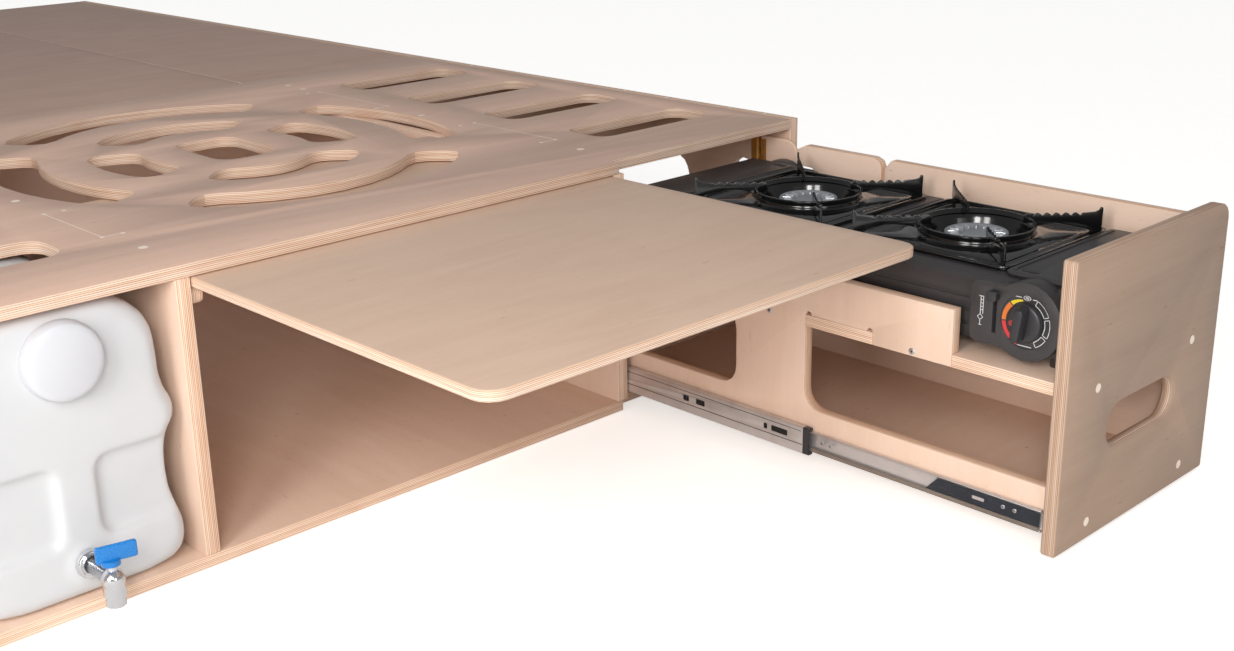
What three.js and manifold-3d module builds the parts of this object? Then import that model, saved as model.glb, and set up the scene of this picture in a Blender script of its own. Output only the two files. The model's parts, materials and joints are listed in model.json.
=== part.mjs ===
// Camper van kitchen box: a plywood bed box with a water canister bay, a pull-out table
// and a kitchen drawer that carries two gas stoves on telescopic slides.
// Millimetres, +Z up, +X along the front from the canister to the drawer, +Y into the box.
// The origin lies on the floor, under the front edge, midway between the end panels.
import * as THREE from 'three';
import { mergeVertices } from 'three/addons/utils/BufferGeometryUtils.js';
import Module from 'manifold-3d';

const wasm = await Module();
wasm.setup();

// Driving dimensions shared by the whole box
const fit_gap = 0.3;
const cut_overrun = 6;
const arc_steps = 2;
const bore_segments = 16;
const turned_segments = 24;

const carcass = {
  width: 1404,
  height: 356,
  length: 2400,
  deck_thickness: 15,
  base_thickness: 15,
  wall_thickness: 18,
  front_depth: 960,
  tank_bay_width: 334,
  drawer_bay_width: 370,
  seam: 1.2,
  edge_round: 1.5,
  corner_radius: 3,
  lid_corner_radius: 24,
  rebate_clearance: 1,
};

// Ventilation pattern of the front deck board
const pattern = {
  slot_count: 4,
  slot_length: 238,
  slot_width: 86,
  slot_corner: 26,
  slot_side_margin: 44,
  first_slot_from_front: 178,
  slot_pitch: 198,
  ring_centre_from_front: 492,
  ring_half_width: 322,
  ring_half_depth: 366,
  ring_slot_width: 75,
  inner_half_width: 186,
  inner_half_depth: 219,
  inner_slot_width: 74,
  ring_corner: 24,
  window_width: 98,
  window_depth: 152,
  window_corner: 28,
};
const ring_sweeps_deg = { long_half: 42, outer_short_half: 31.5, inner_short_half: 26.5 };
const ring_steps = 12;
const mouth_leans_deg = [30, 60];

// Cut-outs of the end panels
const end_panel = {
  round_hole_from_front: 113,
  round_hole_below_top: 103,
  round_hole_radius: 30,
  long_hole_from_front: 222,
  long_hole_length: 300,
  long_hole_below_top: 76,
  long_hole_height: 130,
  long_hole_corner: 40,
};

// Wind flap inside the right end panel, on a small folded hinge
const flap = {
  thickness: 6,
  length: 78,
  rear_from_front: 67,
  height: 112,
  top_margin: 14,
  corner: 22,
  small_corner: 3,
  edge_round: 1,
  hinge_height: 50,
  hinge_top_margin: 5,
  leaf_width: 14,
  leaf_thickness: 1.2,
  knuckle_radius: 2.6,
  pin_radius: 1.3,
  pin_head_radius: 2.2,
  pin_head_height: 1.2,
};

const table = {
  thickness: 12,
  depth: 900,
  pulled_out: 496,
  corner: 24,
  side_clearance: 2,
  top_clearance: 1.2,
  runner_width: 18,
  runner_height: 22,
  runner_corner: 9,
  runner_front_inset: 8,
  runner_length: 900,
};

const slide = {
  gap_width: 12.7,
  length: 675,
  front_inset: 20,
  centre_height: 43,
  outer_height: 45.5,
  lip: 4.3,
  web: 1.5,
  fillet: 1.2,
  stop_length: 9,
  packer_height: 70,
  packer_thickness: 24.3,
  slot_height: 8,
};
// Slots in the middle member's web: start and length along it; then how far it moves with the drawer
const slide_slot_shares = [[0.055, 0.04], [0.105, 0.009], [0.268, 0.024], [0.311, 0.016]];
const middle_travel_share = 0.51;

const drawer = {
  travel: 672,
  depth: 750,
  side_thickness: 15,
  bottom_thickness: 12,
  back_thickness: 15,
  shelf_thickness: 15,
  front_from_end_panel: 13,
  front_below_top: 7,
  front_thickness: 18,
  front_from_floor: 4,
  front_from_divider: 6,
  front_corner: 20,
  front_edge_round: 2.5,
  underside: 18,
  handle_width: 151,
  handle_height: 49,
  handle_from_floor: 131,
  handle_round: 9,
  rail_top: 83,
  cutout_corner: 26,
  post_front: 366,
  post_back: 480,
  rear_cutout_length: 210,
  band_height: 54,
  band_front: 152,
  tab_front: 263,
  relief_radius: 5,
  guard_clearance: 7,
  shelf_headroom: 134,
  guard_back: 615,
  guard_notch: 470,
  notch_width: 7,
  notch_depth: 13,
  kerf_width: 5,
  kerf_depth: 94,
  guard_chamfer: 14,
  hook_height: 31,
  hook_length: 34,
  hook_corner: 10,
};

const stove = {
  width: 340,
  depth: 262,
  foot_height: 15,
  foot_radius: 9,
  foot_inset: 24,
  body_height: 80,
  body_corner: 12,
  shoulder: 14,
  from_front_board: 3,
  between: 3,
  first_from_side: 10.3,
  second_from_side: 10,
  burner_from_left: 129,
  burner_from_front: 137,
  well_radius: 80,
  well_depth: 34,
  pan_width: 232,
  pan_depth: 229,
  pan_corner: 12,
  pan_sheet: 1.6,
  pan_rim_height: 5,
  pan_rim_width: 5,
  bowl_radius: 71,
  bowl_floor_radius: 60,
  bowl_depth: 26,
  bowl_lift: 7,
  bowl_hole_radius: 44,
  head_radius: 39,
  head_height: 38,
  head_crown: 15,
  head_lip: 4,
  head_slots: 12,
  head_slot_width: 3,
  stem_radius: 15,
  ring_thickness: 3.2,
  ring_height: 10.5,
  arm_inner_radius: 56,
  arm_outer_radius: 152,
  arm_thickness: 2.4,
  arm_crest: 22,
  arm_tip_rise: 8,
  arm_tip_width: 6,
  arm_leg_width: 18,
  arm_wave: 1.4,
  lid_width: 88,
  lid_depth: 238,
  lid_height: 6,
  lid_corner: 10,
  lid_from_right: 5,
  finger_slot_length: 20,
  finger_slot_width: 8,
  bay_depth: 62,
  bay_wall: 6,
  groove_count: 3,
  groove_height: 4,
  groove_depth: 2,
  groove_length: 200,
  housing_radius: 45,
  housing_stand: 15,
  dial_radius: 31,
  dial_recess: 1.5,
  knob_from_left: 294,
  knob_height: 56,
  knob_radius: 22,
  knob_base: 7,
  knob_grip: 14,
  knob_grip_width: 11,
  panel_left: 224,
  panel_bottom: 20,
  panel_top: 92,
  panel_corner: 10,
  lever_from_left: 255,
  lever_width: 12,
  lever_height: 11,
  lever_stand: 9,
  lever_slot_width: 5,
  lever_slot_height: 50,
  lever_slot_foot: 35,
};
const arm_wave_share = 0.7;
const arm_wave_count = 6;
const arm_wave_steps = 4;
const arm_turns_deg = [45, 135, 225, 315];

const canister = {
  width: 246,
  depth: 380,
  centre_from_divider: 132,
  front_inset: 5,
  top_clearance: 5,
  edge_round: 20,
  recess_depth: 8,
  recess_top: 157,
  recess_bottom: 63,
  recess_draft: 7,
  recess_corner: 16,
  stem_width: 41,
  cap_radius: 43,
  cap_height: 19,
  cap_below_top: 49.7,
  neck_radius: 36,
  neck_height: 5,
  tap_from_base: 42,
  boss_radius: 21,
  boss_height: 3,
};
// Right half of the front silhouette, as shares of half the width and of the height
const canister_outline_shares = [
  [0, 1], [0.2, 1], [0.397, 1], [0.586, 0.987], [0.747, 0.95], [0.854, 0.894], [0.892, 0.828],
  [0.892, 0.73], [0.915, 0.66], [0.985, 0.605], [1, 0.57], [0.985, 0.535], [0.905, 0.494],
  [0.862, 0.42], [0.856, 0.34], [0.88, 0.25], [0.945, 0.18], [0.973, 0.119], [0.945, 0.06],
  [0.873, 0.025], [0.631, 0], [0.3, 0], [0, 0],
];
// Sections from the front to the middle: how far back and how far inward, as shares of the edge rounding
const canister_section_shares = [[0, 0.75], [0.15, 0.38], [0.45, 0.11], [1, 0]];
const outline_steps = 48;

const tap = {
  nut_radius: 17,
  nut_length: 7,
  nut_sides: 12,
  barrel_radius: 9.5,
  barrel_length: 52,
  elbow_radius: 12.5,
  spout_radius: 10.5,
  spout_length: 30,
  outlet_radius: 6.5,
  collar_radius: 12,
  collar_height: 6,
  stem_radius: 6,
  stem_height: 4,
  hub_radius: 10,
  hub_height: 6,
  lever_length: 28,
  lever_back: 15,
  lever_thickness: 5,
  lever_height: 19,
};

// Turning angles at rest, in degrees
const rest_angles_deg = { tap_lever: -12, knob: 8 };

// Positions that follow from the sizes above
const half_width = carcass.width / 2;
const right_inner = half_width - carcass.wall_thickness;
const left_inner = -right_inner;
const deck_underside = carcass.height - carcass.deck_thickness;
const bay_floor = carcass.base_thickness;
const right_divider_x = right_inner - carcass.drawer_bay_width - carcass.wall_thickness;
const left_divider_x = left_inner + carcass.tank_bay_width;
const middle_left = left_divider_x + carcass.wall_thickness;
const drawer_bay_left = right_divider_x + carcass.wall_thickness;
const wall_height = deck_underside - bay_floor - 2 * fit_gap;
const rebate = drawer.front_thickness + carcass.rebate_clearance;
const rebate_x = right_divider_x + carcass.wall_thickness / 2;
const bulkhead_y = carcass.front_depth - carcass.wall_thickness / 2;
const drawer_left = drawer_bay_left + slide.gap_width;
const drawer_right = right_inner - slide.packer_thickness - slide.gap_width;
const drawer_inner_left = drawer_left + drawer.side_thickness;
const drawer_inner_right = drawer_right - drawer.side_thickness;
const box_front = drawer.front_thickness + fit_gap;
const box_back = drawer.front_thickness + drawer.depth;
const guard_top = deck_underside - drawer.guard_clearance;
const shelf_top = deck_underside - drawer.shelf_headroom;
const shelf_underside = shelf_top - drawer.shelf_thickness;

// Materials
function finish(color, roughness, metalness = 0) {
  return new THREE.MeshStandardMaterial({ color, roughness, metalness });
}
const ply_face = finish(0xbfa08a, 0.55);
const ply_pale = finish(0xd9b999, 0.6);
const zinc = finish(0x9a9ea3, 0.35, 0.9);
const brass = finish(0xa8843c, 0.4, 0.9);
const black_plastic = finish(0x1b1b1d, 0.5);
const black_enamel = finish(0x0d0e10, 0.15);
const stove_paint = finish(0x26262a, 0.45);
const aluminium = finish(0xb9bcc0, 0.3, 0.9);
const tank_white = finish(0xe6e8ec, 0.45);
const cap_white = finish(0xf4f4f4, 0.5);
const chrome = finish(0xc4c8cc, 0.12, 1);
const handle_blue = finish(0x1583cf, 0.35);

// Closed geometry to a solid and back, for joins and cuts
function toSolid(geometry) {
  const plain = geometry.clone();
  plain.deleteAttribute('normal');
  plain.deleteAttribute('uv');
  const merged = mergeVertices(plain, 1e-4);
  const vertProperties = new Float32Array(merged.attributes.position.array);
  const triVerts = new Uint32Array(merged.index.array);
  return new wasm.Manifold(new wasm.Mesh({ numProp: 3, vertProperties, triVerts }));
}

function toGeometry(solid) {
  const mesh = solid.getMesh();
  const geometry = new THREE.BufferGeometry();
  geometry.setAttribute('position', new THREE.BufferAttribute(new Float32Array(mesh.vertProperties), 3));
  geometry.setIndex(new THREE.BufferAttribute(new Uint32Array(mesh.triVerts), 1));
  geometry.computeVertexNormals();
  return geometry;
}

function joined(...geometries) {
  return toGeometry(geometries.map(toSolid).reduce((sum, next) => sum.add(next)));
}

function cut(base, ...tools) {
  return toGeometry(tools.map(toSolid).reduce((rest, tool) => rest.subtract(tool), toSolid(base)));
}

function common(first, second) {
  return toGeometry(toSolid(first).intersect(toSolid(second)));
}

// Flat outlines
function roundedRectangle(left, bottom, right, top, radii, Kind = THREE.Shape) {
  const corners = Array.isArray(radii) ? radii : Array(4).fill(radii);
  const [bottom_left, bottom_right, top_right, top_left] = corners;
  const path = new Kind();
  const round = (x, y, radius, quarter) => {
    if (radius > 0) path.absarc(x, y, radius, (quarter * Math.PI) / 2, ((quarter + 1) * Math.PI) / 2);
  };
  path.moveTo(left + bottom_left, bottom);
  path.lineTo(right - bottom_right, bottom);
  round(right - bottom_right, bottom + bottom_right, bottom_right, -1);
  path.lineTo(right, top - top_right);
  round(right - top_right, top - top_right, top_right, 0);
  path.lineTo(left + top_left, top);
  round(left + top_left, top - top_left, top_left, 1);
  path.lineTo(left, bottom + bottom_left);
  round(left + bottom_left, bottom + bottom_left, bottom_left, 2);
  path.closePath();
  return path;
}

function circle(x, y, radius, Kind = THREE.Shape) {
  const path = new Kind();
  for (let quarter = 0; quarter < 4; quarter += 1) {
    path.absarc(x, y, radius, (quarter * Math.PI) / 2, ((quarter + 1) * Math.PI) / 2);
  }
  return path;
}

// One slot of a ring: a band that follows an ellipse between two angles, with rounded corners
function ringSlot(ring, middle_deg, half_deg) {
  const centre = (angle) => new THREE.Vector2(
    (ring.half_width - ring.width / 2) * Math.cos(angle),
    ring.centre_y + (ring.half_depth - ring.width / 2) * Math.sin(angle));
  const start = THREE.MathUtils.degToRad(middle_deg - half_deg);
  const sweep = THREE.MathUtils.degToRad(2 * half_deg);
  const length = new THREE.Vector2().subVectors(centre(start), centre(start + sweep)).length();
  const far_side = [];
  const near_side = [];
  for (let step = 0; step <= ring_steps; step += 1) {
    const share = (1 - Math.cos((Math.PI * step) / ring_steps)) / 2;
    const angle = start + sweep * share;
    const point = centre(angle);
    const ahead = centre(angle + 1e-3);
    const outward = new THREE.Vector2(ahead.y - point.y, point.x - ahead.x).normalize();
    const to_end = Math.min(share, 1 - share) * length;
    const missing = Math.max(0, ring.corner - to_end);
    const drop = ring.corner - Math.sqrt(ring.corner ** 2 - missing ** 2);
    const half_band = ring.width / 2 - drop;
    far_side.push(point.clone().addScaledVector(outward, half_band));
    near_side.unshift(point.clone().addScaledVector(outward, -half_band));
  }
  return new THREE.Path([...far_side, ...near_side]);
}

// A board or sheet: the outline extruded along X, Y or Z from zero, with its edges eased
function board(outline, thickness, normal, edge = 0, edge_steps = 1) {
  const geometry = new THREE.ExtrudeGeometry(outline, {
    depth: thickness - 2 * edge,
    bevelEnabled: edge > 0,
    bevelThickness: edge,
    bevelSize: edge,
    bevelOffset: -edge,
    bevelSegments: edge_steps,
    curveSegments: arc_steps,
  });
  geometry.translate(0, 0, edge);
  if (normal === 'x') {
    const [x, y, z] = [new THREE.Vector3(1, 0, 0), new THREE.Vector3(0, 1, 0), new THREE.Vector3(0, 0, 1)];
    geometry.applyMatrix4(new THREE.Matrix4().makeBasis(y, z, x));
  }
  return normal === 'y' ? standing(geometry, thickness) : geometry;
}

// Turns a flat board upright: its outline faces -Y and its thickness runs along Y from zero
function standing(geometry, thickness) {
  const across = new THREE.Vector3(1, 0, 0);
  const up = new THREE.Vector3(0, 0, 1);
  const forward = new THREE.Vector3(0, -1, 0);
  return geometry.applyMatrix4(new THREE.Matrix4().makeBasis(across, up, forward)).translate(0, thickness, 0);
}

// Cutters for a hole through a board with both edges rounded over, as three tangent chamfers a side
function roundedMouth(outline, thickness, radius) {
  const tools = [board(outline, thickness + 2 * cut_overrun, 'z').translate(0, 0, -cut_overrun)];
  for (const lean_deg of mouth_leans_deg) {
    const lean = THREE.MathUtils.degToRad(lean_deg);
    const reach = radius * (Math.cos(lean) + Math.sin(lean) - 1);
    const flare = new THREE.ExtrudeGeometry(outline, {
      depth: cut_overrun,
      bevelThickness: reach / Math.sin(lean),
      bevelSize: reach / Math.cos(lean),
      bevelSegments: 1,
      curveSegments: arc_steps,
    });
    tools.push(flare.clone().translate(0, 0, thickness), flare.translate(0, 0, -cut_overrun));
  }
  return tools;
}

function block(width, depth, height, x = 0, y = 0, z = 0) {
  const geometry = new THREE.BoxGeometry(width, depth, height);
  return geometry.translate(x + width / 2, y + depth / 2, z + height / 2);
}

// A turned piece: profile points as [radius, height], axis along Z
function turned(profile, segments = turned_segments) {
  const points = profile.map(([radius, height]) => new THREE.Vector2(radius, height));
  return new THREE.LatheGeometry(points, segments).rotateX(Math.PI / 2);
}

function rod(radius, length, segments = turned_segments) {
  const geometry = new THREE.CylinderGeometry(radius, radius, length, segments);
  return geometry.rotateX(Math.PI / 2).translate(0, 0, length / 2);
}

function piece(parent, name, geometry, material, x = 0, y = 0, z = 0) {
  const mesh = new THREE.Mesh(geometry, material);
  mesh.name = name;
  mesh.position.set(x, y, z);
  parent.add(mesh);
  return mesh;
}

function group(parent, x = 0, y = 0, z = 0) {
  const child = new THREE.Group();
  child.position.set(x, y, z);
  parent.add(child);
  return child;
}

const kitchen_box = new THREE.Group();

// Carcass: end panels, dividers, bulkheads, base and deck
function deckOutline(left, right) {
  const outline = new THREE.Shape();
  outline.moveTo(left, 0);
  outline.lineTo(rebate_x, 0);
  outline.lineTo(rebate_x, rebate);
  outline.lineTo(right, rebate);
  outline.lineTo(right, carcass.front_depth - carcass.seam / 2);
  outline.lineTo(left, carcass.front_depth - carcass.seam / 2);
  outline.closePath();
  return outline;
}

function frontDeck() {
  const left = left_inner + fit_gap;
  const right = right_inner - fit_gap;
  const outline = deckOutline(left, right);
  const slot_right = right_inner - pattern.slot_side_margin;
  for (let index = 0; index < pattern.slot_count; index += 1) {
    const middle = pattern.first_slot_from_front + index * pattern.slot_pitch;
    const front = middle - pattern.slot_width / 2;
    const back = middle + pattern.slot_width / 2;
    const slot_left = slot_right - pattern.slot_length;
    for (const [from, to] of [[slot_left, slot_right], [-slot_right, -slot_left]]) {
      outline.holes.push(roundedRectangle(from, front, to, back, pattern.slot_corner, THREE.Path));
    }
  }
  const outer = {
    half_width: pattern.ring_half_width,
    half_depth: pattern.ring_half_depth,
    width: pattern.ring_slot_width,
    corner: pattern.ring_corner,
    centre_y: pattern.ring_centre_from_front,
  };
  const inner = {
    ...outer,
    half_width: pattern.inner_half_width,
    half_depth: pattern.inner_half_depth,
    width: pattern.inner_slot_width,
  };
  for (const middle_deg of [90, 270]) {
    outline.holes.push(ringSlot(outer, middle_deg, ring_sweeps_deg.long_half));
    outline.holes.push(ringSlot(inner, middle_deg, ring_sweeps_deg.long_half));
  }
  for (const middle_deg of [0, 180]) {
    outline.holes.push(ringSlot(outer, middle_deg, ring_sweeps_deg.outer_short_half));
    outline.holes.push(ringSlot(inner, middle_deg, ring_sweeps_deg.inner_short_half));
  }
  outline.holes.push(roundedRectangle(
    -pattern.window_width / 2, pattern.ring_centre_from_front - pattern.window_depth / 2,
    pattern.window_width / 2, pattern.ring_centre_from_front + pattern.window_depth / 2,
    pattern.window_corner, THREE.Path));
  return board(outline, carcass.deck_thickness, 'z');
}

function endPanel(front) {
  const outline = new THREE.Shape();
  outline.moveTo(front, 0);
  outline.lineTo(carcass.length, 0);
  outline.lineTo(carcass.length, carcass.height);
  outline.lineTo(front, carcass.height);
  outline.closePath();
  const round_hole_z = carcass.height - end_panel.round_hole_below_top;
  outline.holes.push(circle(
    end_panel.round_hole_from_front, round_hole_z, end_panel.round_hole_radius, THREE.Path));
  const long_hole_top = carcass.height - end_panel.long_hole_below_top;
  outline.holes.push(roundedRectangle(
    end_panel.long_hole_from_front, long_hole_top - end_panel.long_hole_height,
    end_panel.long_hole_from_front + end_panel.long_hole_length, long_hole_top,
    end_panel.long_hole_corner, THREE.Path));
  return board(outline, carcass.wall_thickness, 'x', carcass.edge_round);
}

function buildCarcass() {
  const inside = right_inner - left_inner - 2 * fit_gap;
  const base = new THREE.Shape();
  base.moveTo(left_inner + fit_gap, 0);
  base.lineTo(rebate_x, 0);
  base.lineTo(rebate_x, rebate);
  base.lineTo(right_inner - fit_gap, rebate);
  base.lineTo(right_inner - fit_gap, carcass.length);
  base.lineTo(left_inner + fit_gap, carcass.length);
  base.closePath();
  piece(kitchen_box, 'base_panel', board(base, carcass.base_thickness, 'z'), ply_pale);
  piece(kitchen_box, 'front_deck', frontDeck(), ply_face, 0, 0, deck_underside);
  piece(kitchen_box, 'left_end_panel', endPanel(0), ply_face, -half_width);
  piece(kitchen_box, 'right_end_panel', endPanel(rebate), ply_face, right_inner);

  const divider_length = carcass.length - carcass.wall_thickness - fit_gap;
  for (const [name, x] of [['left_divider', left_divider_x], ['right_divider', right_divider_x]]) {
    const divider = block(carcass.wall_thickness, divider_length, wall_height);
    piece(kitchen_box, name, divider, ply_pale, x, 0, bay_floor + fit_gap);
  }
  piece(kitchen_box, 'tail_board', block(inside, carcass.wall_thickness, wall_height), ply_face,
    left_inner + fit_gap, carcass.length - carcass.wall_thickness, bay_floor + fit_gap);

  const bays = [
    ['bulkhead_left', left_inner, left_divider_x],
    ['bulkhead_middle', middle_left, right_divider_x],
    ['bulkhead_right', drawer_bay_left, right_inner],
  ];
  for (const [name, from, to] of bays) {
    const bulkhead = block(to - from - 2 * fit_gap, carcass.wall_thickness, wall_height);
    piece(kitchen_box, name, bulkhead, ply_pale, from + fit_gap, bulkhead_y, bay_floor + fit_gap);
  }

  const rear_front = carcass.front_depth + carcass.seam / 2;
  const lid_left = left_divider_x + carcass.wall_thickness / 2;
  const lid_right = right_divider_x + carcass.wall_thickness / 2;
  const decks = [
    ['rear_deck_left', left_inner + fit_gap, lid_left - carcass.seam / 2, carcass.corner_radius],
    ['rear_deck_middle', lid_left + carcass.seam / 2, lid_right - carcass.seam / 2, carcass.lid_corner_radius],
    ['rear_deck_right', lid_right + carcass.seam / 2, right_inner - fit_gap, carcass.corner_radius],
  ];
  for (const [name, from, to, corner] of decks) {
    const outline = roundedRectangle(from, rear_front, to, carcass.length, corner);
    const deck = board(outline, carcass.deck_thickness, 'z', carcass.edge_round);
    piece(kitchen_box, name, deck, ply_face, 0, 0, deck_underside);
  }
}

// Pull-out table and its two runner cleats
function buildTable() {
  const runner_top = deck_underside - table.top_clearance - table.thickness - fit_gap;
  const cleat = board(
    roundedRectangle(0, 0, table.runner_length, table.runner_height, table.runner_corner),
    table.runner_width, 'x', carcass.edge_round);
  const runner_z = runner_top - table.runner_height;
  const runner_y = table.runner_front_inset;
  const right_runner_x = right_divider_x - fit_gap - table.runner_width;
  piece(kitchen_box, 'table_runner_left', cleat, ply_pale, middle_left + fit_gap, runner_y, runner_z);
  piece(kitchen_box, 'table_runner_right', cleat, ply_pale, right_runner_x, runner_y, runner_z);

  const outline = roundedRectangle(
    middle_left + table.side_clearance, 0, right_divider_x - table.side_clearance, table.depth,
    [table.corner, table.corner, table.runner_corner, table.runner_corner]);
  piece(kitchen_box, 'table_board', board(outline, table.thickness, 'z', carcass.edge_round), ply_face,
    0, -table.pulled_out, runner_top + fit_gap);
}

// Telescopic slide: three nested channels, drawn from the cabinet side towards the drawer
const outer_half = slide.outer_height / 2;
const middle_half = outer_half - slide.lip - fit_gap;
const inner_half = middle_half - slide.lip - fit_gap;
const slide_width = slide.gap_width - 2 * fit_gap;

function channelProfile(web_from, web_to, lip_to, half_height, lip) {
  const profile = new THREE.Shape();
  const side = Math.sign(lip_to - web_to);
  profile.moveTo(web_from, slide.fillet - half_height);
  profile.lineTo(web_from + side * slide.fillet, -half_height);
  profile.lineTo(lip_to - side * slide.fillet, -half_height);
  profile.lineTo(lip_to, slide.fillet - half_height);
  profile.lineTo(lip_to, lip - slide.fillet - half_height);
  profile.lineTo(lip_to - side * slide.fillet, lip - half_height);
  profile.lineTo(web_to, lip - half_height);
  profile.lineTo(web_to, half_height - lip);
  profile.lineTo(lip_to - side * slide.fillet, half_height - lip);
  profile.lineTo(lip_to, half_height - lip + slide.fillet);
  profile.lineTo(lip_to, half_height - slide.fillet);
  profile.lineTo(lip_to - side * slide.fillet, half_height);
  profile.lineTo(web_from + side * slide.fillet, half_height);
  profile.lineTo(web_from, half_height - slide.fillet);
  profile.closePath();
  return profile;
}

const middle_web = 2 * slide.web;
const lip_reach = slide_width - slide.web;
const stop_front = box_front + fit_gap - slide.front_inset;
const stop_reach = stop_front + slide.stop_length + fit_gap;

function outerMember() {
  const profile = channelProfile(0, slide.web, lip_reach - slide.web / 2, outer_half, slide.lip);
  return board(profile, slide.length, 'y');
}

function middleMember() {
  const profile = channelProfile(slide.web + fit_gap, middle_web + fit_gap, lip_reach, middle_half, slide.lip);
  const channel = board(profile, slide.length - stop_reach, 'y').translate(0, stop_reach, 0);
  const slots = slide_slot_shares.map(([start_share, length_share]) => {
    const start = slide.length * start_share + stop_reach;
    const outline = roundedRectangle(
      start, -slide.slot_height / 2, start + slide.length * length_share, slide.slot_height / 2, slide.web);
    return board(outline, middle_web + slide.web, 'x');
  });
  return cut(channel, ...slots);
}

function innerMember() {
  const profile = channelProfile(
    slide_width, slide_width - slide.web, middle_web + 2 * slide.web, inner_half, slide.lip - slide.web);
  return board(profile, slide.length, 'y');
}

function frontStop() {
  const profile = channelProfile(
    slide.web + fit_gap, middle_web + 2 * fit_gap, lip_reach, middle_half, slide.lip);
  return board(profile, slide.stop_length, 'y').translate(0, stop_front, 0);
}

function buildSlides(middle_groups, drawer_group) {
  const sides = [
    ['left', drawer_bay_left + fit_gap, 1],
    ['right', right_inner - slide.packer_thickness - fit_gap, -1],
  ];
  for (const [side, x, direction] of sides) {
    const members = [
      ['slide_outer', outerMember(), zinc, kitchen_box, slide.front_inset],
      ['slide_middle', middleMember(), zinc, middle_groups[side], slide.front_inset],
      ['slide_stop', frontStop(), black_plastic, middle_groups[side], slide.front_inset],
      ['slide_inner', innerMember(), zinc, drawer_group, slide.front_inset],
    ];
    for (const [name, geometry, material, parent, y] of members) {
      const turned_round = direction < 0 ? mirrored(geometry) : geometry;
      piece(parent, `${name}_${side}`, turned_round, material, x, y, slide.centre_height);
    }
  }
  const packer = block(slide.packer_thickness - fit_gap, slide.length, slide.packer_height);
  piece(kitchen_box, 'slide_packer', packer, ply_pale,
    right_inner - slide.packer_thickness, slide.front_inset, bay_floor + fit_gap);
}

// Mirror image across X, with the faces turned outward again
function mirrored(geometry) {
  const plain = mergeVertices(withoutNormals(geometry), 1e-4);
  plain.scale(-1, 1, 1);
  const index = plain.index.array;
  for (let corner = 0; corner < index.length; corner += 3) {
    [index[corner], index[corner + 1]] = [index[corner + 1], index[corner]];
  }
  plain.computeVertexNormals();
  return plain;
}

function withoutNormals(geometry) {
  const plain = geometry.clone();
  plain.deleteAttribute('normal');
  plain.deleteAttribute('uv');
  return plain;
}

// Drawer: y runs from the outer face of the front board towards the back
function frontBoard() {
  const left = drawer_bay_left + drawer.front_from_divider;
  const right = right_inner - drawer.front_from_end_panel;
  const bottom = drawer.front_from_floor;
  const top = carcass.height - drawer.front_below_top;
  const middle = (left + right) / 2;
  const square = drawer.front_edge_round + drawer.front_edge_round / 2;
  const outline = roundedRectangle(left, bottom, right, top, [square, square, drawer.front_corner, square]);
  const slot = roundedRectangle(
    middle - drawer.handle_width / 2, drawer.handle_from_floor - drawer.handle_height / 2,
    middle + drawer.handle_width / 2, drawer.handle_from_floor + drawer.handle_height / 2,
    drawer.handle_height / 2 - fit_gap);
  const plain = board(outline, drawer.front_thickness, 'z', drawer.front_edge_round, 2);
  const cut_through = cut(plain, ...roundedMouth(slot, drawer.front_thickness, drawer.handle_round));
  return standing(cut_through, drawer.front_thickness);
}

function leftSide() {
  const outline = new THREE.Shape();
  const band_top = shelf_top + drawer.band_height;
  const notch_top = shelf_top + fit_gap;
  const relief = drawer.relief_radius;
  const cutout_top = shelf_underside - relief;
  const r = Math.min(drawer.cutout_corner, (cutout_top - drawer.rail_top) / 3);
  outline.moveTo(box_front, drawer.underside);
  outline.lineTo(box_back, drawer.underside);
  outline.lineTo(box_back, band_top);
  outline.lineTo(drawer.band_front, band_top);
  outline.lineTo(drawer.band_front, shelf_underside);
  outline.lineTo(drawer.tab_front, shelf_underside);
  outline.lineTo(drawer.tab_front, notch_top);
  outline.absarc(drawer.tab_front + relief, notch_top, relief, Math.PI, 0, true);
  outline.lineTo(drawer.post_front - 2 * relief, notch_top);
  outline.absarc(drawer.post_front - relief, notch_top, relief, Math.PI, 0, true);
  outline.lineTo(drawer.post_front, drawer.rail_top + r);
  outline.absarc(drawer.post_front - r, drawer.rail_top + r, r, 0, -Math.PI / 2, true);
  outline.lineTo(box_front, drawer.rail_top);
  outline.closePath();
  outline.holes.push(roundedRectangle(
    drawer.post_back, drawer.rail_top, drawer.post_back + drawer.rear_cutout_length, cutout_top,
    r, THREE.Path));
  return board(outline, drawer.side_thickness, 'x');
}

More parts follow.
